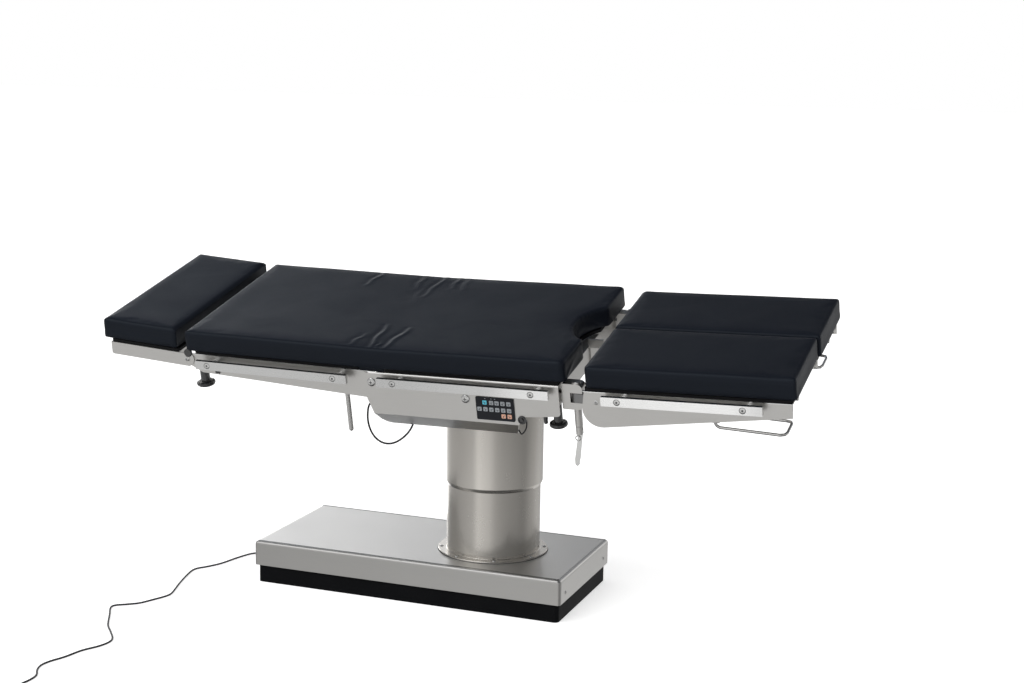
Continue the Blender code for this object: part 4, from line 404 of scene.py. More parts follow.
def pad_material(colour, lighter, rough):
    """The cover of a pad: a dark coated cloth with a faint cool sheen."""
    material, tree, shader, place = start_material("pad cover")
    cloth = use_group(tree, "Coated cloth", Vector=place)
    marks = use_group(tree, "Handling marks", Vector=place, Amount=0.6)
    tone = tree.maths("ADD", cloth.outputs["Soft"], tree.maths("MULTIPLY", marks.outputs["Marks"], 0.6))
    tree.feed(shader, "Base Color", tree.mix(tone, (*colour, 1.0), (*lighter, 1.0)))
    tree.feed(shader, "Roughness", tree.spread(cloth.outputs["Soft"], rough - 0.06, rough + 0.08))
    shader.inputs["Specular IOR Level"].default_value = 0.17
    shader.inputs["Specular Tint"].default_value = (0.75, 0.88, 1.0, 1.0)
    bump = tree.add("ShaderNodeBump", Strength=0.25, Distance=0.0006, Height=cloth.outputs["Height"])
    tree.feed(shader, "Normal", bump.outputs[0])
    return material


MATERIALS = {}
COLUMN_STEEL = (0.530, 0.508, 0.472)
COLUMN_SHADE = (0.490, 0.468, 0.434)
FITTING_STEEL = (0.66, 0.66, 0.65)


def toned(colour, share):
    return tuple(share * part for part in colour)


def make_materials(sizes):
    steel, bright, pad = tuple(sizes.steel_colour), tuple(sizes.rail_colour), tuple(sizes.pad_colour)
    pad_light = tuple(1.6 * part + 0.0008 for part in pad)
    MATERIALS.update({
        "brushed_stainless": metal("brushed steel", steel, toned(steel, 0.82), 0.36, ALONG_X),
        "column_steel": metal("column steel", COLUMN_STEEL, COLUMN_SHADE, 0.26, UP_Z, spread=0.03,
                              relief=0.0, stain=0.06),
        "bright_steel": metal("bright steel", bright, toned(bright, 0.92), 0.22, ALONG_X, spread=0.06,
                              levels=RAIL_PAINTED_REFLECTION),
        "fitting_steel": metal("fitting steel", FITTING_STEEL, (0.52, 0.52, 0.51), 0.30, EVERY_WAY),
        "cover_steel": metal("cover steel", steel, toned(steel, 0.88), 0.34, ALONG_X),
        # painted shade: the base's side panels are a darker copy of the cover steel
        "shaded_side_steel": metal("shaded side steel", toned(steel, 0.66), toned(steel, 0.54), 0.34, ALONG_X),
        "lever_steel": metal("lever steel", FITTING_STEEL, (0.54, 0.54, 0.53), 0.20, EVERY_WAY),
        "rod_steel": metal("rod steel", (0.52, 0.51, 0.50), (0.40, 0.40, 0.39), 0.24, EVERY_WAY),
        "dark_steel": metal("dark steel", (0.30, 0.30, 0.30), (0.22, 0.22, 0.22), 0.45, EVERY_WAY),
        # painted shade: this dark colour stands for the shade in screw recesses, under screw heads and the
        # flange and along the cover joints; the back clips use it too
        "recess": plastic("dark recess and painted shade", (0.045, 0.045, 0.047), 0.6),
        "black_plastic": plastic("black plastic", (0.012, 0.012, 0.013), 0.22, coat=0.5),
        "black_laminate": plastic("black laminate", (0.005, 0.005, 0.006), 0.55, shine=0.12),
        "skirt": plastic("black skirt", (0.0035, 0.0038, 0.0045), 0.40, shine=0.03),
        "keypad_film": plastic("keypad film", (0.0085, 0.0095, 0.013), 0.35, shine=0.2),
        "key_tile": plastic("key print", (0.30, 0.32, 0.34), 0.45),
        "key_blue": plastic("blue key print", (0.10, 0.52, 0.68), 0.45),
        "key_salmon": plastic("salmon key print", (0.66, 0.36, 0.26), 0.45),
        "key_mark": plastic("key marks", (0.04, 0.045, 0.055), 0.5),
        "cable_jacket": plastic("cable jacket", (0.014, 0.014, 0.016), 0.45, 1500.0, shine=0.3),
        "pad_cover": pad_material(pad, pad_light, sizes.pad_roughness)})


def dress(piece, material):
    piece.data.materials.clear()
    piece.data.materials.append(MATERIALS[material])
    return piece


# Meshes

def mesh_object(name, shape):
    """Turn a bmesh into an object of the scene."""
    mesh = bpy.data.meshes.new(name)
    shape.to_mesh(mesh)
    shape.free()
    piece = bpy.data.objects.new(name, mesh)
    bpy.context.collection.objects.link(piece)
    return piece


def new_object(name, shape, material, body, smooth=35.0):
    """Turn a bmesh into a finished piece that rides on a body."""
    bmesh.ops.recalc_face_normals(shape, faces=shape.faces)
    piece = mesh_object(name, shape)
    piece.data.shade_smooth()
    piece.data.set_sharp_from_angle(angle=math.radians(smooth))
    dress(piece, material)
    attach(piece, body)
    return piece


def add_part(shape, part):
    """Add one bmesh to another."""
    mesh = bpy.data.meshes.new("part")
    part.to_mesh(mesh)
    part.free()
    shape.from_mesh(mesh)
    bpy.data.meshes.remove(mesh)


def rectangle(wide, high):
    """Corners of a rectangle from its half width and half height."""
    return [(-wide, -high), (wide, -high), (wide, high), (-wide, high)]


def rounded_outline(corners, radii, steps=5):
    """Corners of an outline replaced by arcs. A radius of 0 keeps a sharp corner."""
    points = []
    for index, (corner, radius) in enumerate(zip(corners, radii)):
        here = Vector(corner)
        if radius <= 0.0:
            points.append(here)
            continue
        back = Vector(corners[index - 1]) - here
        ahead = Vector(corners[(index + 1) % len(corners)]) - here
        half = back.angle(ahead) / 2.0
        reach = radius / math.tan(half)
        middle = here + (back.normalized() + ahead.normalized()).normalized() * (radius / math.sin(half))
        first = here + back.normalized() * reach - middle
        last = here + ahead.normalized() * reach - middle
        turn = first.angle_signed(last)
        for step in range(steps + 1):
            angle = -turn * step / steps
            points.append(middle + Vector((first.x * math.cos(angle) - first.y * math.sin(angle),
                                           first.x * math.sin(angle) + first.y * math.cos(angle))))
    return points


def extruded(outline, low, high):
    """A closed plate with its outline in X and Y."""
    shape = bmesh.new()
    face = shape.faces.new([shape.verts.new((x, y, low)) for x, y in outline])
    grown = bmesh.ops.extrude_face_region(shape, geom=[face])
    moved = [item for item in grown["geom"] if isinstance(item, bmesh.types.BMVert)]
    bmesh.ops.translate(shape, verts=moved, vec=(0.0, 0.0, high - low))
    return shape


def rounded_plate(wide, high, corner, low, thick):
    """A plate with round corners, from its half width and half height."""
    return extruded(rounded_outline(rectangle(wide, high), [corner] * 4, 3), low, low + thick)


def lathe(profile, steps=48, closed=False):
    """Turn (radius, height) pairs about Z into a bmesh."""
    shape = bmesh.new()
    rings = []
    for radius, height in profile:
        count = steps if radius > 0.0 else 1
        rings.append([shape.verts.new((radius * math.cos(2 * math.pi * n / steps),
                                       radius * math.sin(2 * math.pi * n / steps), height))
                      for n in range(count)])
    pairs = list(zip(rings, rings[1:])) + ([(rings[-1], rings[0])] if closed else [])
    for lower, upper in pairs:
        for n in range(steps):
            after = (n + 1) % steps
            corners = [lower[n % len(lower)], lower[after % len(lower)],
                       upper[after % len(upper)], upper[n % len(upper)]]
            corners = list(dict.fromkeys(corners))
            if len(corners) > 2:
                shape.faces.new(corners)
    return shape


def pointing(section, place, outward):
    """A matrix that puts local Z along a direction of a section, at a place in it."""
    turn = Vector(outward).to_track_quat("Z", "Y").to_matrix().to_4x4()
    return SECTIONS[section] @ Matrix.Translation(place) @ turn


def smooth_line(route, spacing):
    """Points about one spacing apart on a smooth curve through a route."""
    places = [Vector(point) for point in route]
    places = [2 * places[0] - places[1]] + places + [2 * places[-1] - places[-2]]
    dense = []
    for before, start, end, after in zip(places, places[1:], places[2:], places[3:]):
        for step in range(12):
            t = step / 12.0
            dense.append(0.5 * (2 * start + (end - before) * t
                                + (2 * before - 5 * start + 4 * end - after) * t ** 2
                                + (3 * start - before - 3 * end + after) * t ** 3))
    dense.append(places[-2])
    points = [dense[0]]
    for point in dense[1:-1]:
        if (point - points[-1]).length >= spacing:
            points.append(point)
    points.append(dense[-1])
    return points


def eased(points, rounds):
    """Take the sharpest turns out of a line, with its ends held."""
    for _ in range(rounds):
        inner = [0.25 * a + 0.5 * b + 0.25 * c for a, b, c in zip(points, points[1:], points[2:])]
        points = [points[0], *inner, points[-1]]
    return points


def cord_curve(name, points, radius, body):
    """A round lead as a curve object along world points."""
    curve = bpy.data.curves.new(name, "CURVE")
    curve.dimensions = "3D"
    curve.bevel_depth = radius
    curve.bevel_resolution = 4
    curve.use_fill_caps = True
    line = curve.splines.new("POLY")
    line.points.add(len(points) - 1)
    for knot, point in zip(line.points, points):
        knot.co = (*point, 1.0)
    line.use_smooth = True
    piece = bpy.data.objects.new(name, curve)
    bpy.context.collection.objects.link(piece)
    dress(piece, "cable_jacket")
    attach(piece, body)
    return piece


# Camera and leads

def make_camera():
    yaw, pitch, roll = (math.radians(a) for a in (CAMERA_YAW, CAMERA_PITCH, CAMERA_ROLL))
    forward = Vector((-math.sin(yaw) * math.cos(pitch), math.cos(yaw) * math.cos(pitch), -math.sin(pitch)))
    right = Vector((math.cos(yaw), math.sin(yaw), 0.0))
    up = right.cross(forward)
    across = math.cos(roll) * right + math.sin(roll) * up
    upward = -math.sin(roll) * right + math.cos(roll) * up
    turn = Matrix((across, upward, -forward)).transposed()
    data = bpy.data.cameras.new("photo camera")
    data.lens = LENS
    data.sensor_width = SENSOR
    camera = bpy.data.objects.new("photo camera", data)
    bpy.context.scene.collection.objects.link(camera)
    camera.matrix_world = Matrix.Translation(CAMERA_PLACE) @ turn.to_4x4()
    bpy.context.scene.camera = camera


def coil_points():
    """Turns laid beside each other round a middle turn, entered and left along tangents."""
    layers = [Vector((COIL_LAYER * math.cos(a), COIL_LAYER * math.sin(a)))
              for a in (2 * math.pi * (n / COIL_TURNS) for n in range(COIL_TURNS))]
    start_angle = math.radians(COIL_ENTRY)
    leave_angle = math.radians(COIL_LEAVE)
    turns = COIL_TURNS - 1 + (leave_angle - start_angle) / (2 * math.pi)
    points = []
    count = int(turns * COIL_STEPS)
    for step in range(count + 1):
        run = turns * step / count
        index = min(int(run), COIL_TURNS - 1)
        later = min(index + 1, COIL_TURNS - 1)
        ease = max(0.0, (run - index - COIL_CROSSING) / (1.0 - COIL_CROSSING)) if later > index else 0.0
        ease = ease * ease * (3 - 2 * ease)
        lay = layers[index].lerp(layers[later], ease)
        angle = start_angle + 2 * math.pi * run
        radius = COIL_TURNS_RADIUS + lay.x
        points.append(Vector((COIL_CENTRE[0] + radius * math.cos(angle),
                              COIL_CENTRE[1] + radius * math.sin(angle), COIL_MIDDLE_Z + lay.y)))
    return points


def make_mains_lead():
    coil = coil_points()
    plug_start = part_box("mains_plug")[0]
    end = Vector((plug_start.x, coil[-1].y, 0.0093))
    line = smooth_line(CORD_ROUTE, 0.006) + coil
    line = smooth_line([*line, end], 0.004)
    cord = cord_curve("mains_lead", line, CORD_RADIUS, "base")
    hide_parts("mains_cord", "mains_cord_coil")


def make_table_leads():
    """The lead from the control socket and the lead that hangs at the back hinge."""
    for name, node, route, radius in (
            ("control_lead", "socket_lead", SOCKET_LEAD_ROUTE, LEAD_RADIUS),
            ("hinge_lead", "hanging_lead", HANGING_LEAD_ROUTE, HANGING_LEAD_RADIUS)):
        points = [SECTIONS["seat"] @ point for point in eased(smooth_line(route, 0.002), 16)]
        cord = cord_curve(name, points, radius, "seat")
        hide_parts(node)


# Pads

def pad_outline(left, right, near, far, facing=None, scooped=False):
    """The plan of a pad, a little smaller than its cover. Corners that swing past a pad are rounder."""
    corners = [(left + SLACK, near + SLACK), (right - SLACK, near + SLACK), (right - SLACK, far - SLACK),
               (left + SLACK, far - SLACK)]
    swings = {"left": (0, 3), "right": (1, 2)}.get(facing, ())
    radii = [FACING_CORNER if n in swings and abs(corners[n][1]) > 0.1 else PAD_CORNER for n in range(4)]
    if not scooped:
        return rounded_outline(corners, radii)
    radius = SCOOP_RADIUS + SLACK
    centre = right - SCOOP_DEPTH + SCOOP_RADIUS
    half = math.acos((centre - right + SLACK + MOUTH_SETBACK) / radius)
    arc = []
    for step in range(SCOOP_STEPS + 1):
        angle = math.pi + half - 2 * half * step / SCOOP_STEPS
        arc.append((centre + radius * math.cos(angle), radius * math.sin(angle)))
    lip = arc[0][1]
    mouth = [(right - SLACK, lip - MOUTH_REACH), *arc, (right - SLACK, -lip + MOUTH_REACH)]
    corners = corners[:2] + mouth + corners[2:]
    radii = radii[:2] + [MOUTH_CORNER] + [0.0] * len(arc) + [MOUTH_CORNER] + radii[2:]
    return rounded_outline(corners, radii)


def keep_modifiers(piece):
    graph = bpy.context.evaluated_depsgraph_get()
    mesh = bpy.data.meshes.new_from_object(piece.evaluated_get(graph))
    piece.modifiers.clear()
    piece.data = mesh


def remesh_pad(piece, voxel):
    remesh = piece.modifiers.new("remesh", "REMESH")
    remesh.mode = "VOXEL"
    remesh.voxel_size = voxel
    keep_modifiers(piece)


def swell(piece, pressure, largest):
    """Puff a pad up as cloth with its underside held, and keep the result."""
    start = [point.co.copy() for point in piece.data.vertices]
    held = piece.vertex_groups.new(name="held")
    held.add([n for n, co in enumerate(start) if co.z < -PAD_THICKNESS + 2 * SLACK + 0.003], 1.0, "REPLACE")
    cloth = piece.modifiers.new("cloth", "CLOTH")
    settings = cloth.settings
    settings.quality = 4
    settings.mass = 0.3
    settings.tension_stiffness = 15.0
    settings.compression_stiffness = 15.0
    settings.bending_stiffness = 0.6
    settings.use_pressure = True
    settings.uniform_pressure_force = pressure
    settings.vertex_group_mass = "held"
    settings.effector_weights.gravity = 0.0
    cloth.collision_settings.use_collision = False
    cloth.point_cache.frame_start = 1
    cloth.point_cache.frame_end = CLOTH_FRAMES
    scene = bpy.context.scene
    for step in range(1, CLOTH_FRAMES + 1):
        scene.frame_set(step)
    graph = bpy.context.evaluated_depsgraph_get()
    posed = piece.evaluated_get(graph).to_mesh()
    moved = []
    for old, point in zip(start, posed.vertices):
        shift = point.co - old
        if shift.length > largest:
            shift *= largest / shift.length
        moved.append(old + shift)
    piece.evaluated_get(graph).to_mesh_clear()
    piece.modifiers.clear()
    for point, place in zip(piece.data.vertices, moved):
        point.co = place
    scene.frame_set(1)


def soften(shape, radius):
    """Round the upper and lower rims of a pad."""
    rims = [edge for edge in shape.edges if abs(edge.verts[0].co.z - edge.verts[1].co.z) < 1e-6]
    bmesh.ops.bevel(shape, geom=rims, offset=radius, segments=3, profile=0.5, affect="EDGES")
    return shape


def stretch_to(piece, plan, facing):
    """Stretch a pad in its plan until it fills the given sides (left, right, near, far)."""
    left, right, near, far = plan
    outer = (1.0 if near < -0.1 else 0.0, 1.0 if far > 0.1 else 0.0)
    sides = ((left - PLAN_REACH * (facing != "left"), right + PLAN_REACH * (facing != "right")),
             (near - PLAN_REACH * outer[0], far + PLAN_REACH * outer[1]), (PAD_UNDERSIDE, CROWN))
    for axis, (low, high) in enumerate(sides):
        found = [point.co[axis] for point in piece.data.vertices]
        factor = (high - low) / (max(found) - min(found))
        start = min(found)
        for point in piece.data.vertices:
            point.co[axis] = low + (point.co[axis] - start) * factor


def blend_over_fold(piece):
    """Bake the transform of a piece that already bends between the seat and the back section."""
    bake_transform(piece)


def make_pad(name, outline, plan, facing, section, body, nodes, sizes):
    """One pad: a foam block in a sewn cover, swollen by a cloth run, with its creases pressed in. The
    body pad belongs to no one section: it lies over the fold, and bends there."""
    over_fold = section is None
    piece = mesh_object(name, soften(extruded(outline, PAD_UNDERSIDE, -SLACK), RIM_SOFTNESS))
    remesh_pad(piece, sizes.voxel)
    swell(piece, sizes.pressure, LARGEST_SWELL)
    finer = piece.modifiers.new("finer", "SUBSURF")
    finer.levels = 1
    finer.render_levels = 1
    keep_modifiers(piece)
    stretch_to(piece, plan, facing)
    for point in piece.data.vertices:
        point.co += pad_relief(point.co, over_fold, sizes)
    for point in piece.data.vertices:
        point.co = over_the_fold(point.co) if over_fold else SECTIONS[section] @ point.co
    piece.data.shade_smooth()
    dress(piece, "pad_cover")
    if over_fold:
        blend_over_fold(piece)
    else:
        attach(piece, body)
    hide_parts(*nodes)


# Creases over the fold: start, end, height, half width, in the seat's frame
CREASES = [
    ((-0.443, 0.262), (-0.458, 0.150), 0.0016, 0.006), ((-0.310, 0.262), (-0.297, 0.150), 0.0014, 0.007),
    ((-0.243, 0.262), (-0.252, 0.096), 0.0018, 0.006), ((-0.199, 0.262), (-0.193, 0.174), 0.0012, 0.006),
    ((-0.171, 0.262), (-0.154, 0.165), 0.0011, 0.007), ((-0.262, -0.120), (-0.249, -0.264), 0.0024, 0.006),
    ((-0.192, -0.130), (-0.210, -0.262), 0.0024, 0.006), ((-0.298, -0.185), (-0.312, -0.256), 0.0014, 0.006),
    ((-0.232, -0.230), (-0.233, -0.264), 0.0014, 0.004), ((-0.275, 0.200), (-0.262, 0.050), 0.0007, 0.010)]


def crease_height(x, y):
    """Height of the creases at a point of the top face. Each has a sharp side and a soft side."""
    total = 0.0
    for (x0, y0), (x1, y1), height, width in CREASES:
        run = Vector((x1 - x0, y1 - y0))
        share = ((x - x0) * run.x + (y - y0) * run.y) / run.length_squared
        if not -0.1 < share < 1.1:
            continue
        off = ((x - x0) * run.y - (y - y0) * run.x) / run.length
        off += 0.003 * math.sin(share * 9.0)
        fade = math.sin(math.pi * min(1.0, max(0.0, 0.12 + 0.88 * share))) ** 0.5
        width = 1.35 * width
        ridge = math.exp(-(off / width) ** 2)
        valley = math.exp(-((off - 1.6 * width) / (1.2 * width)) ** 2)
        total += 0.6 * height * fade * (ridge - 0.75 * valley)
    return total


def seam_relief(co, sizes):
    """Depth of the sewn seams just under the upper rim and over the lower rim, by height only."""
    return sizes.seam_depth * sum(math.exp(-((co.z - level) / SEAM_HALF_WIDTH) ** 2) for level in SEAM_LEVELS)


def pad_relief(co, creased, sizes):
    """How far a point of a pad's cover moves after the cloth run."""
    top = min(1.0, max(0.0, (co.z + 0.012) / 0.010))
    rise = 0.0006 * noise.noise(Vector((co.x * 9.0, co.y * 9.0, 1.7)))
    if creased:
        rise += crease_height(co.x, co.y)
    inward = 0.0
    if abs(co.y) > PAD_HALF_WIDTH - 0.006:
        inward = -math.copysign(seam_relief(co, sizes), co.y)
    return Vector((0.0, inward, rise * top))


def over_the_fold(co):
    """Carry a point of the seat's frame to the world, on the back section beyond the fold."""
    share = min(1.0, max(0.0, (FOLD_START - co.x) / (FOLD_START - FOLD_END)))
    share = share * share * (3 - 2 * share)
    seat, back = SECTIONS["seat"] @ co, SECTIONS["back"] @ co
    return seat.lerp(back, share)


def make_body_pad(sizes):
    plan = (*BODY_PAD, -PAD_HALF_WIDTH, PAD_HALF_WIDTH)
    make_pad("body_pad", pad_outline(*plan, "right", scooped=True), plan, "right", None, None,
             ("seat_cushion", "mattress_fold", "back_cushion"), sizes)


def make_fold_strip():
    """A flap of dark cover cloth under the fold, between the back board and the seat board: it closes the
    underside there and gives the painted shade under the mattress.
    """
    low, high = -PAD_THICKNESS - 0.0085, -PAD_THICKNESS - 0.0004
    corners = ((-FLAP_HALF, low), (FLAP_HALF, low), (FLAP_HALF, high), (-FLAP_HALF, high))
    shape = bmesh.new()
    rows = []
    for row in range(FLAP_ROWS + 1):
        x = FLAP_START + (FLAP_END - FLAP_START) * row / FLAP_ROWS
        rows.append([shape.verts.new(over_the_fold(Vector((x, y, z)))) for y, z in corners])
    for lower, upper in zip(rows, rows[1:]):
        for n in range(4):
            shape.faces.new((lower[n], lower[(n + 1) % 4], upper[(n + 1) % 4], upper[n]))
    shape.faces.new(rows[0])
    shape.faces.new(rows[-1])
    bmesh.ops.recalc_face_normals(shape, faces=shape.faces)
    piece = mesh_object("fold_flap", shape)
    # painted shade: a dark sheet under the mattress at the fold
    dress(piece, "pad_cover")
    blend_over_fold(piece)


def make_head_pad(sizes):
    plan = (*HEAD_PAD, -PAD_HALF_WIDTH, PAD_HALF_WIDTH)
    make_pad("head_pad", pad_outline(*plan), plan, None, "head", "head", ("head_cushion",), sizes)


def make_leg_pads(sizes):
    for side, name, pull in SIDES:
        near, far = sorted((side * LEG_PAD_INNER, side * PAD_HALF_WIDTH))
        plan = (LEG_PAD[0], LEG_PAD[1] + pull, near, far)
        make_pad("leg_pad_" + name, pad_outline(*plan, "left"), plan, "left", "leg", "leg_" + name,
                 ("leg_cushion_" + name,), sizes)


# Steel shells and fittings

# Finishes of pieces that look unlike the rest of their slot; the base's side panels get a darker copy of the
# cover steel, as painted shade
OWN_FINISHES = {
    "column_steel": ("upper_sleeve", "lower_sleeve"), "skirt": ("base_tray",), "cover_steel": ("base_cover",),
    "shaded_side_steel": ("base_side_near", "base_side_far"),
    "rod_steel": ("back_release_lever", "leg_handle_near", "leg_handle_far"),
    "lever_steel": ("leg_clamp_lever_near", "leg_clamp_lever_far")}


def finish_nodes():
    """Give every carried piece of the construction its finish and its smooth shading."""
    finishes = {part["node"]: part["material_slot"] for part in frame["record"]["subparts"]}
    finishes.update({name: finish for finish, names in OWN_FINISHES.items() for name in names})
    for name, node in frame["nodes"].items():
        node.data.materials.clear()
        node.data.materials.append(MATERIALS[finishes[name]])
        node.data.shade_smooth()
        node.data.set_sharp_from_angle(angle=math.radians(32.0))


# Screws, as the radius and the height of the head
RAIL_SCREW = (0.0076, 0.0006)
PIN_SCREW = (0.0080, 0.0006)
LEG_PIVOT_SCREW = (0.0060, 0.0012)
HEAD_PIVOT_SCREW = (0.0062, 0.0012)
FLANGE_SCREW = (0.0045, 0.0018)
END_SCREW = (0.0050, 0.0012)
RAIL_SCREW_SETBACK = 0.0120
PIN_FACE = SIDE_FACE + 0.0043
HEAD_SCREW_PLACE = (HEAD_AXIS[0] - 0.004, 0.0, -0.0823)
END_SCREW_Y = 0.1650
END_SCREW_Z = 0.0750
# height of the dark ring of painted shadow under a hexagon screw's head
SHADOW_RING_HEIGHT = 0.0002


def screw(name, section, body, place, outward, radius, height, recess):
    """A round screw head on a surface, with a dark plate of painted shade for its hexagon or cross
    recess, and for a hexagon screw a dark ring of painted shadow under its rim.
    """
    turn = pointing(section, place, outward)
    rim = radius * 0.16
    head = lathe([(0.0, height), (radius - 2 * rim, height), (radius - rim * 0.6, height * 0.85),
                  (radius, height * 0.45), (radius, 0.0), (0.0, 0.0)], 32)
    head.transform(turn)
    new_object(name, head, "fitting_steel", body)
    if recess == "hex":
        # painted shadow: a dark ring under the rim of the head
        edge, corner = 1.15 * radius, radius * 0.38
        shadow_ring = lathe([(0.0, SHADOW_RING_HEIGHT), (edge, SHADOW_RING_HEIGHT), (edge, 0.0), (0.0, 0.0)], 32)
        shadow_ring.transform(turn)
        new_object(name + "_shadow_ring", shadow_ring, "recess", body)
        bars = [[(corner * math.cos(math.pi * n / 3), corner * math.sin(math.pi * n / 3)) for n in range(6)]]
    else:
        wide, long = radius * 0.11, radius * 0.62
        bars = [rectangle(long, wide), rectangle(wide, long)]
    # painted shade: dark raised plates stand for the hollow of the recess
    recess_shade = bmesh.new()
    for level, outline in enumerate(bars):
        add_part(recess_shade, extruded(outline, height, height + 0.00025 + 0.00005 * level))
    recess_shade.transform(turn)
    new_object(name + "_recess", recess_shade, "recess", body)


def make_rail_screws():
    """Countersunk screws in the outer face of each accessory rail."""
    for side, name, pull in SIDES:
        rails = (("seat", "seat", SEAT_RAIL_POSTS, RAIL_Z), ("back", "back", BACK_RAIL_POSTS, RAIL_Z),
                 ("leg", "leg_" + name, [x + pull for x in LEG_RAIL_POSTS], LEG_RAIL_Z))
        for section, body, posts, height in rails:
            for number, x in enumerate(posts):
                screw(f"{section}_rail_screw_{name}_{number}", section, body,
                      (x - RAIL_SCREW_SETBACK, side * RAIL_FACE, height), (0, side, 0), *RAIL_SCREW, "hex")


def make_pivot_screws():
    """Cross-slotted screws in the hinge pins and the tipping shaft, and at the leg and head pivots."""
    for side, name, _ in SIDES:
        for label, section, body, axis, face, size in (
                ("hinge_screw_", "seat", "seat", BACK_AXIS, PIN_FACE, PIN_SCREW),
                ("tipping_screw_", "seat", "seat", TIP_AXIS, PIN_FACE, PIN_SCREW),
                ("leg_pivot_screw_", "leg", "leg_" + name, LEG_AXIS, SIDE_FACE, LEG_PIVOT_SCREW),
                ("head_pivot_screw_", "head", "head", HEAD_SCREW_PLACE, SIDE_FACE, HEAD_PIVOT_SCREW)):
            screw(label + name, section, body, (axis[0], side * face, axis[2]), (0, side, 0), *size, "cross")


def make_base_screws():
    """Screws round the column's flange and in the ends of the base cover."""
    for number in range(8):
        angle = math.radians(22.5 + 45.0 * number)
        place = (FLANGE_SCREW_CIRCLE * math.cos(angle), FLANGE_SCREW_CIRCLE * math.sin(angle),
                 COLUMN_FLANGE_TOP)
        screw(f"flange_screw_{number}", "world", "base", place, (0, 0, 1), *FLANGE_SCREW, "hex")
    low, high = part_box("base_cover")
    for end, x, name in ((-1, low.x, "left"), (1, high.x, "right")):
        for number, y in enumerate((-END_SCREW_Y, END_SCREW_Y)):
            screw(f"end_screw_{name}_{number}", "world", "base", (x, y, END_SCREW_Z), (end, 0, 0),
                  *END_SCREW, "cross")


# Keys on the near casing wall: the height of each row, and where its keys are
KEY_SIZE = 0.0118
KEY_ROWS = [(-0.1271, (0.0716, 0.0903, 0.1055, 0.1218, 0.1384)),
            (-0.1464, (0.0558, 0.0726, 0.0893, 0.1057, 0.1223, 0.1389)),
            (-0.1631, (0.1221, 0.1389))]
KEY_LEANS = (-24, 18, 0, 30, -12, 42)
KEY_PRINT = 0.0005
MARK_PRINT = 0.0001
LAMPS = (0.0735, 0.0905, 0.1010)
LAMP_Z = -0.1157


def key_plate(shape, x, z, wide, high, low, thick, turn=0.0):
    """Add one small plate to a bmesh of the keypad, in the seat's frame."""
    plate = rounded_plate(wide, high, min(wide, high) * 0.3, low, thick)
    plate.transform(pointing("seat", (x, -KEYPAD_FACE, z), (0, -1, 0)) @ Matrix.Rotation(turn, 4, "Z"))
    add_part(shape, plate)


def make_keypad():
    """Printed keys under the film: pale tiles with plain slanted bars, one blue and two salmon."""
    prints = {look: bmesh.new() for look in ("key_tile", "key_blue", "key_salmon")}
    marks = bmesh.new()
    half = KEY_SIZE / 2
    number = 0
    for row, (z, columns) in enumerate(KEY_ROWS):
        for x in columns:
            look = "key_blue" if number == 0 else "key_salmon" if row == 2 else "key_tile"
            lean = math.radians(KEY_LEANS[number % len(KEY_LEANS)])
            key_plate(prints[look], x, z, half, half, 0.0, KEY_PRINT)
            key_plate(marks, x, z, half * 0.72, half * 0.10, KEY_PRINT, MARK_PRINT, lean)
            key_plate(marks, x, z - half * 0.42, half * 0.14, half * 0.34, KEY_PRINT, MARK_PRINT)
            number += 1
    for x in LAMPS:
        key_plate(prints["key_tile"], x, LAMP_Z, 0.0016, 0.0008, 0.0, 0.0004)
    for look, shape in prints.items():
        new_object("keypad_" + look, shape, look, "seat")
    new_object("keypad_marks", marks, "key_mark", "seat")


# Hubs of the head section, and the clips under the back rails as (place, half width, half height)
HEAD_HUB = [(0.0, 0.006), (0.0105, 0.006), (0.0120, 0.0048), (0.0120, 0.0), (0.0, 0.0)]
HEAD_HUB_PLACE = (HEAD_AXIS[0] + 0.002, PAD_HALF_WIDTH - 0.004, -0.0640)
CLIP_PLATES = ((-0.7275, 0.0045, 0.0050), (-0.7205, 0.0016, 0.0062))
CLIP_FACE = 0.2690
CLIP_Z = -0.1130


def make_hubs_and_clips():
    """Black pivot hubs of the head section, and the clips under the back rails."""
    x, face, z = HEAD_HUB_PLACE
    for side, name, _ in SIDES:
        hub = lathe(HEAD_HUB, 32)
        hub.transform(pointing("back", (x, side * face, z), (0, side, 0)))
        new_object("head_hub_" + name, hub, "black_plastic", "back")
        clip = bmesh.new()
        for at, wide, high in CLIP_PLATES:
            plate = rounded_plate(wide, high, wide * 0.6, 0.0, 0.0012)
            plate.transform(pointing("back", (at, side * CLIP_FACE, CLIP_Z), (0, side, 0)))
            add_part(clip, plate)
        new_object("back_clip_" + name, clip, "recess", "back")


# Turned sleeves of the column and the dark ring of painted shadow under its flange: (radius, height) round
# each wall
UPPER_SLEEVE = [(0.1313, 0.3112), (0.1362, 0.3212), (0.1366, 0.3230), (0.1366, 0.5980), (0.1347, 0.5980),
                (0.1347, 0.3232), (0.1313, 0.3132)]
LOWER_SLEEVE = [(0.1307, 0.1256), (0.1307, 0.4000), (0.1287, 0.4000), (0.1287, 0.1204), (0.1541, 0.1204),
                (0.1541, 0.1235), (0.1530, 0.1246), (0.1317, 0.1246)]
FLANGE_SHADOW_RING = [(0.1500, 0.1202), (0.1556, 0.1202), (0.1556, 0.1209), (0.1500, 0.1209)]
SLEEVE_STEPS = 256


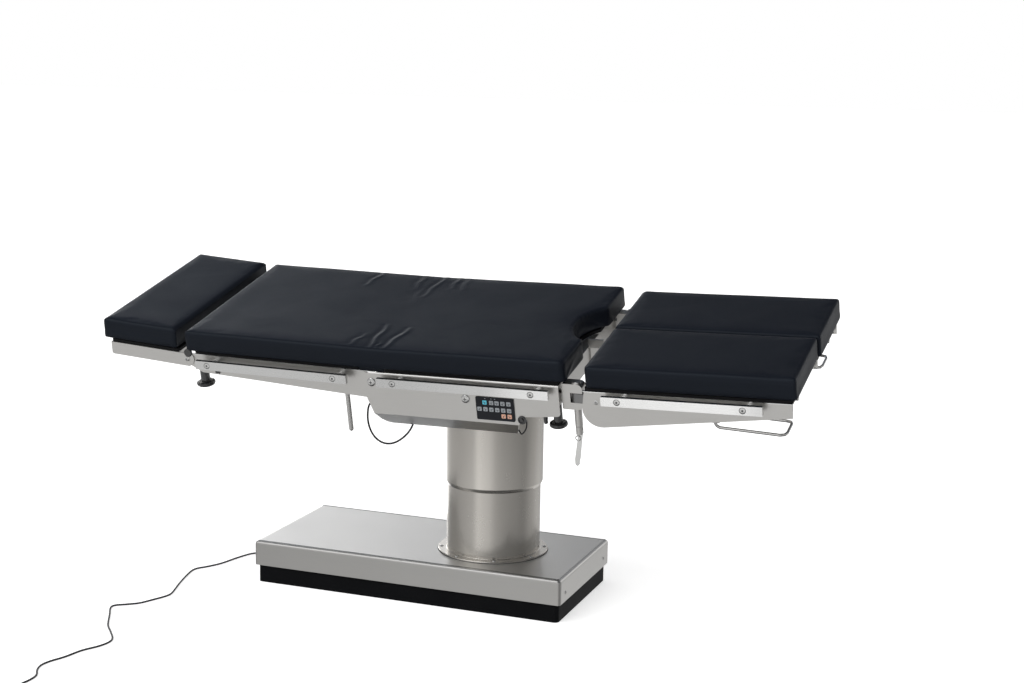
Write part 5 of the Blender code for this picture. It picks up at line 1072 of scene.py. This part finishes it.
def make_sleeves():
    """The two telescoping covers of the column, finely turned, with a dark ring of painted shadow
    under the flange.
    """
    for name, body, profile in (("upper_sleeve", "column", UPPER_SLEEVE),
                                ("lower_sleeve", "base", LOWER_SLEEVE)):
        shape = lathe(profile, SLEEVE_STEPS, closed=True)
        sleeve = new_object("turned_" + name, shape, "column_steel", body, 25.0)
        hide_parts(name)
    # painted shadow: a dark ring under the flange's rim
    shadow_ring = lathe(FLANGE_SHADOW_RING, SLEEVE_STEPS // 2, closed=True)
    new_object("flange_shadow_ring", shadow_ring, "recess", "base")


# Straight edges on both sides: section, faces, ends and levels, then finish and slot
EDGES = {
    # the cover joint is a dark strip of painted shade along the seam of the base cover
    "joint_shade_strip": ("world", (0.1994, 0.2011), (-0.6370, 0.2680), (0.1198, 0.1204), "recess",
                    "black_plastic"),
    "leg_lip": ("leg", (0.2664, 0.2724), (0.3440, 0.8820), (-0.0664, -0.0648), "bright_steel",
                "bright_steel"),
    "back_lip": ("back", (0.2662, 0.2688), (-0.8000, -0.2400), (-0.0664, -0.0648), "bright_steel",
                 "bright_steel")}


def make_edges():
    """Strips of painted shade in the base cover's joints, and the bright folded lips along the leg
    and back panels.
    """
    for side, name, pull in SIDES:
        bodies = {"world": "base", "leg": "leg_" + name, "back": "back"}
        for label, (section, faces, (left, right), levels, material, slot_name) in EDGES.items():
            near, far = sorted(side * face for face in faces)
            right += pull if section == "leg" else 0.0
            shape = extruded([(left, near), (right, near), (right, far), (left, far)], *levels)
            shape.transform(SECTIONS[section])
            new_object(f"{label}_{name}", shape, material, bodies[section])


# Socket of the hand control, with its plug, as (radius, height)
SOCKET = [(0.0, 0.0060), (0.0042, 0.0060), (0.0050, 0.0052), (0.0050, 0.0020), (0.0076, 0.0020),
          (0.0080, 0.0038), (0.0108, 0.0038), (0.0116, 0.0028), (0.0116, 0.0), (0.0, 0.0)]
SOCKET_PLACE = (0.1720, -0.2722, -0.1705)
LEVER_RING_RADIUS = 0.0068
LEVER_WIRE_RADIUS = 0.0013
LEVER_RING_PLACE = (0.3140, 0.2490, -0.2215)


def make_socket():
    """The round socket of the hand control, with its plug, at the near end of the casing."""
    shape = lathe(SOCKET, 40)
    shape.transform(pointing("seat", SOCKET_PLACE, (0, -1, 0)))
    socket = new_object("control_socket", shape, "black_plastic", "seat")
    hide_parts("hand_control_socket")


def make_lever_rings():
    """The wire eye at the neck of each clamp lever's spoon."""
    wire = [(LEVER_RING_RADIUS + LEVER_WIRE_RADIUS * math.cos(math.pi * k / 4),
             LEVER_WIRE_RADIUS * math.sin(math.pi * k / 4)) for k in range(8)]
    x, face, z = LEVER_RING_PLACE
    for side, name, _ in SIDES:
        ring = lathe(wire, 32, closed=True)
        ring.transform(pointing("seat", (x, side * face, z), (0, side, 0)))
        new_object("lever_ring_" + name, ring, "lever_steel", "leg_cam_" + name)


# Stage

# Brightness that polished parts see round the table, by degrees from straight behind the camera
STUDIO_LEVELS = [(-180, 0.95), (-172, 1.10), (-159, 3.00), (-145, 0.78), (-118, 0.52), (-85, 0.49),
                 (-60, 0.54), (-49, 0.54), (-39, 0.94), (-28, 0.76), (-12, 0.70), (8, 0.44), (30, 0.37),
                 (54, 0.32), (78, 0.26), (105, 0.44), (133, 0.62), (156, 0.52), (180, 0.36)]
# The same by height: 0 is straight down, 0.5 level, 1 straight up. It turns cooler from COOL_HEIGHT
HEIGHT_LEVELS = [(0.0, 0.08), (0.11, 0.10), (0.17, 1.20), (0.22, 1.75), (0.30, 1.40), (0.40, 1.0),
                 (0.50, 1.0), (0.58, 2.40), (0.63, 1.70), (0.73, 0.17), (1.0, 0.14)]
COOL_HEIGHT = 0.70
WHITE = (1.0, 1.0, 1.0, 1.0)
FLOOR_HALF = 40.0
FLOOR_THICKNESS = 0.02
KEY_DIRECTION = (0.50, 0.62, -1.0)
KEY_SOFTNESS = 50.0


def seen_by_camera(tree, ray):
    """1 where a camera ray looks, straight or through something clear."""
    return tree.maths("MAXIMUM", ray.outputs["Is Camera Ray"], ray.outputs["Is Transmission Ray"])


def make_world(sizes):
    """White for the camera, even light for dull parts, and the studio's levels for polished ones."""
    world = bpy.data.worlds.new("studio")
    bpy.context.scene.world = world
    world.use_nodes = True
    tree = Tree(world.node_tree)
    place = tree.add("ShaderNodeTexCoord")
    toward = tree.add("ShaderNodeMapping", Vector=place.outputs["Generated"],
                      Rotation=(0.0, 0.0, math.radians(90.0 - CAMERA_YAW)))
    parts = tree.add("ShaderNodeSeparateXYZ", Vector=toward.outputs[0])
    angle = tree.maths("ARCTAN2", parts.outputs["Y"], parts.outputs["X"])
    share = tree.maths("ADD", tree.maths("DIVIDE", angle, 2 * math.pi), 0.5)
    around = tree.ramp(share, [((turn + 180.0) / 360.0, level) for turn, level in STUDIO_LEVELS])
    upward = tree.ramp(tree.half_share(parts.outputs["Z"]), HEIGHT_LEVELS, COOL_HEIGHT)
    studio = tree.add("ShaderNodeBackground", Color=tree.mix(1.0, around, upward, "MULTIPLY"), Strength=1.0)
    plain = tree.add("ShaderNodeBackground", Color=WHITE, Strength=sizes.fill)
    white = tree.add("ShaderNodeBackground", Color=WHITE, Strength=1.0)
    ray = tree.add("ShaderNodeLightPath")
    lit = tree.choose(ray.outputs["Is Glossy Ray"], plain, studio)
    seen = tree.choose(seen_by_camera(tree, ray), lit, white)
    tree.link(seen.outputs[0], tree.add("ShaderNodeOutputWorld").inputs["Surface"])


def make_floor(sizes):
    """A pale floor that fades to white for the camera and that polished parts don't mirror."""
    shape = extruded(rectangle(FLOOR_HALF, FLOOR_HALF), -FLOOR_THICKNESS, 0.0)
    floor = mesh_object("floor", shape)
    material = bpy.data.materials.new("pale floor")
    material.use_nodes = True
    tree = Tree(material.node_tree)
    cloth = tree.add("ShaderNodeBsdfDiffuse", Color=(*[sizes.floor_colour] * 3, 1.0))
    lift = tree.add("ShaderNodeEmission", Color=WHITE, Strength=sizes.floor_lift)
    none = tree.add("ShaderNodeEmission", Color=(0.0, 0.0, 0.0, 1.0), Strength=0.0)
    ray = tree.add("ShaderNodeLightPath")
    lifted = tree.choose(seen_by_camera(tree, ray), none, lift)
    both = tree.add("ShaderNodeAddShader")
    tree.link(cloth.outputs[0], both.inputs[0])
    tree.link(lifted.outputs[0], both.inputs[1])
    skipped = tree.choose(ray.outputs["Is Glossy Ray"], both, tree.add("ShaderNodeBsdfTransparent"))
    tree.link(skipped.outputs[0], tree.add("ShaderNodeOutputMaterial").inputs["Surface"])
    floor.data.materials.append(material)


def make_sun(name, direction, strength, softness):
    lamp = bpy.data.lights.new(name, "SUN")
    lamp.energy = strength
    lamp.angle = math.radians(softness)
    piece = bpy.data.objects.new(name, lamp)
    bpy.context.scene.collection.objects.link(piece)
    piece.rotation_euler = Vector(direction).to_track_quat("-Z", "Y").to_euler()


# Add-on: sizes and colours, operators, panel

class TableSizes(bpy.types.PropertyGroup):
    """What a user would change."""
    pad_colour: bpy.props.FloatVectorProperty(
        name="Pad colour", description="Colour of the mattress cover", subtype="COLOR", size=3,
        min=0.0, max=1.0, default=(0.0042, 0.0052, 0.0085))
    pad_roughness: bpy.props.FloatProperty(
        name="Pad roughness", description="How dull the cover is", default=0.44, min=0.0, max=1.0,
        subtype="FACTOR")
    steel_colour: bpy.props.FloatVectorProperty(
        name="Steel colour", description="Colour of the brushed panels", subtype="COLOR", size=3,
        min=0.0, max=1.0, default=(0.62, 0.61, 0.59))
    rail_colour: bpy.props.FloatVectorProperty(
        name="Rail colour", description="Colour of the bright rails", subtype="COLOR", size=3,
        min=0.0, max=1.0, default=(0.86, 0.86, 0.85))
    voxel: bpy.props.FloatProperty(
        name="Cover mesh", description="Mesh size of the pads before the cloth run", default=0.006,
        min=0.004, max=0.02, unit="LENGTH")
    pressure: bpy.props.FloatProperty(
        name="Foam pressure", description="Pressure that swells the covers", default=4.0, min=0.0, max=20.0)
    seam_depth: bpy.props.FloatProperty(
        name="Seam depth", description="How far a sewn seam draws the cover in", default=0.0007, min=0.0,
        max=0.004, unit="LENGTH")
    fill: bpy.props.FloatProperty(
        name="Fill light", description="Even light from the surroundings", default=0.62, min=0.0, max=2.0)
    key: bpy.props.FloatProperty(
        name="Key light", description="Strength of the soft main light", default=1.25, min=0.0, max=10.0)
    floor_colour: bpy.props.FloatProperty(
        name="Floor colour", description="Grey level of the floor", default=0.90, min=0.0, max=1.0,
        subtype="FACTOR")
    floor_lift: bpy.props.FloatProperty(
        name="Floor lift", description="Added white of the floor as the camera sees it", default=0.52,
        min=0.0, max=1.0, subtype="FACTOR")


class TABLE_OT_finishes(bpy.types.Operator):
    """Make the materials and dress the steel, plastic and laminate parts"""
    bl_idname = "table.finishes"
    bl_label = "Finishes"

    def execute(self, context):
        make_materials(context.scene.table_sizes)
        finish_nodes()
        return {"FINISHED"}


class TABLE_OT_leads(bpy.types.Operator):
    """Make the camera, the mains lead and the two short leads of the top"""
    bl_idname = "table.leads"
    bl_label = "Camera and leads"

    def execute(self, context):
        make_camera()
        make_mains_lead()
        make_table_leads()
        return {"FINISHED"}


class TABLE_OT_pads(bpy.types.Operator):
    """Make the body, head and leg pads by cloth simulation"""
    bl_idname = "table.pads"
    bl_label = "Pads"

    def execute(self, context):
        sizes = context.scene.table_sizes
        make_body_pad(sizes)
        make_fold_strip()
        make_head_pad(sizes)
        make_leg_pads(sizes)
        return {"FINISHED"}


class TABLE_OT_fittings(bpy.types.Operator):
    """Make the screws, hubs and clips"""
    bl_idname = "table.fittings"
    bl_label = "Screws and fittings"

    def execute(self, context):
        make_rail_screws()
        make_pivot_screws()
        make_base_screws()
        make_hubs_and_clips()
        make_sleeves()
        make_edges()
        make_socket()
        make_lever_rings()
        return {"FINISHED"}


class TABLE_OT_keypad(bpy.types.Operator):
    """Make the printed keys of the control keypad"""
    bl_idname = "table.keypad"
    bl_label = "Keypad"

    def execute(self, context):
        make_keypad()
        return {"FINISHED"}


class TABLE_OT_stage(bpy.types.Operator):
    """Make the floor, the surroundings and the lights"""
    bl_idname = "table.stage"
    bl_label = "Stage"

    def execute(self, context):
        sizes = context.scene.table_sizes
        make_world(sizes)
        make_floor(sizes)
        make_sun("key light", KEY_DIRECTION, sizes.key, KEY_SOFTNESS)
        context.scene.view_settings.view_transform = "Standard"
        return {"FINISHED"}


OPERATORS = (TABLE_OT_finishes, TABLE_OT_leads, TABLE_OT_pads, TABLE_OT_fittings, TABLE_OT_keypad,
             TABLE_OT_stage)


class TABLE_PT_panel(bpy.types.Panel):
    """Lists the sizes, colours and steps of the operating table"""
    bl_idname = "TABLE_PT_panel"
    bl_label = "Operating table"
    bl_space_type = "VIEW_3D"
    bl_region_type = "UI"
    bl_category = "Operating table"

    def draw(self, context):
        for name in TableSizes.__annotations__:
            self.layout.prop(context.scene.table_sizes, name)
        for operator in OPERATORS:
            self.layout.operator(operator.bl_idname)


CLASSES = (TableSizes, *OPERATORS, TABLE_PT_panel)


def register():
    for item in CLASSES:
        bpy.utils.register_class(item)
    bpy.types.Scene.table_sizes = bpy.props.PointerProperty(type=TableSizes)


def unregister():
    del bpy.types.Scene.table_sizes
    for item in reversed(CLASSES):
        bpy.utils.unregister_class(item)


def main():
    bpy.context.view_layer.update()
    register()
    bpy.ops.table.finishes()
    bpy.ops.table.leads()
    bpy.ops.table.pads()
    bpy.ops.table.fittings()
    bpy.ops.table.keypad()
    bpy.ops.table.stage()


if __name__ == "__main__":
    main()
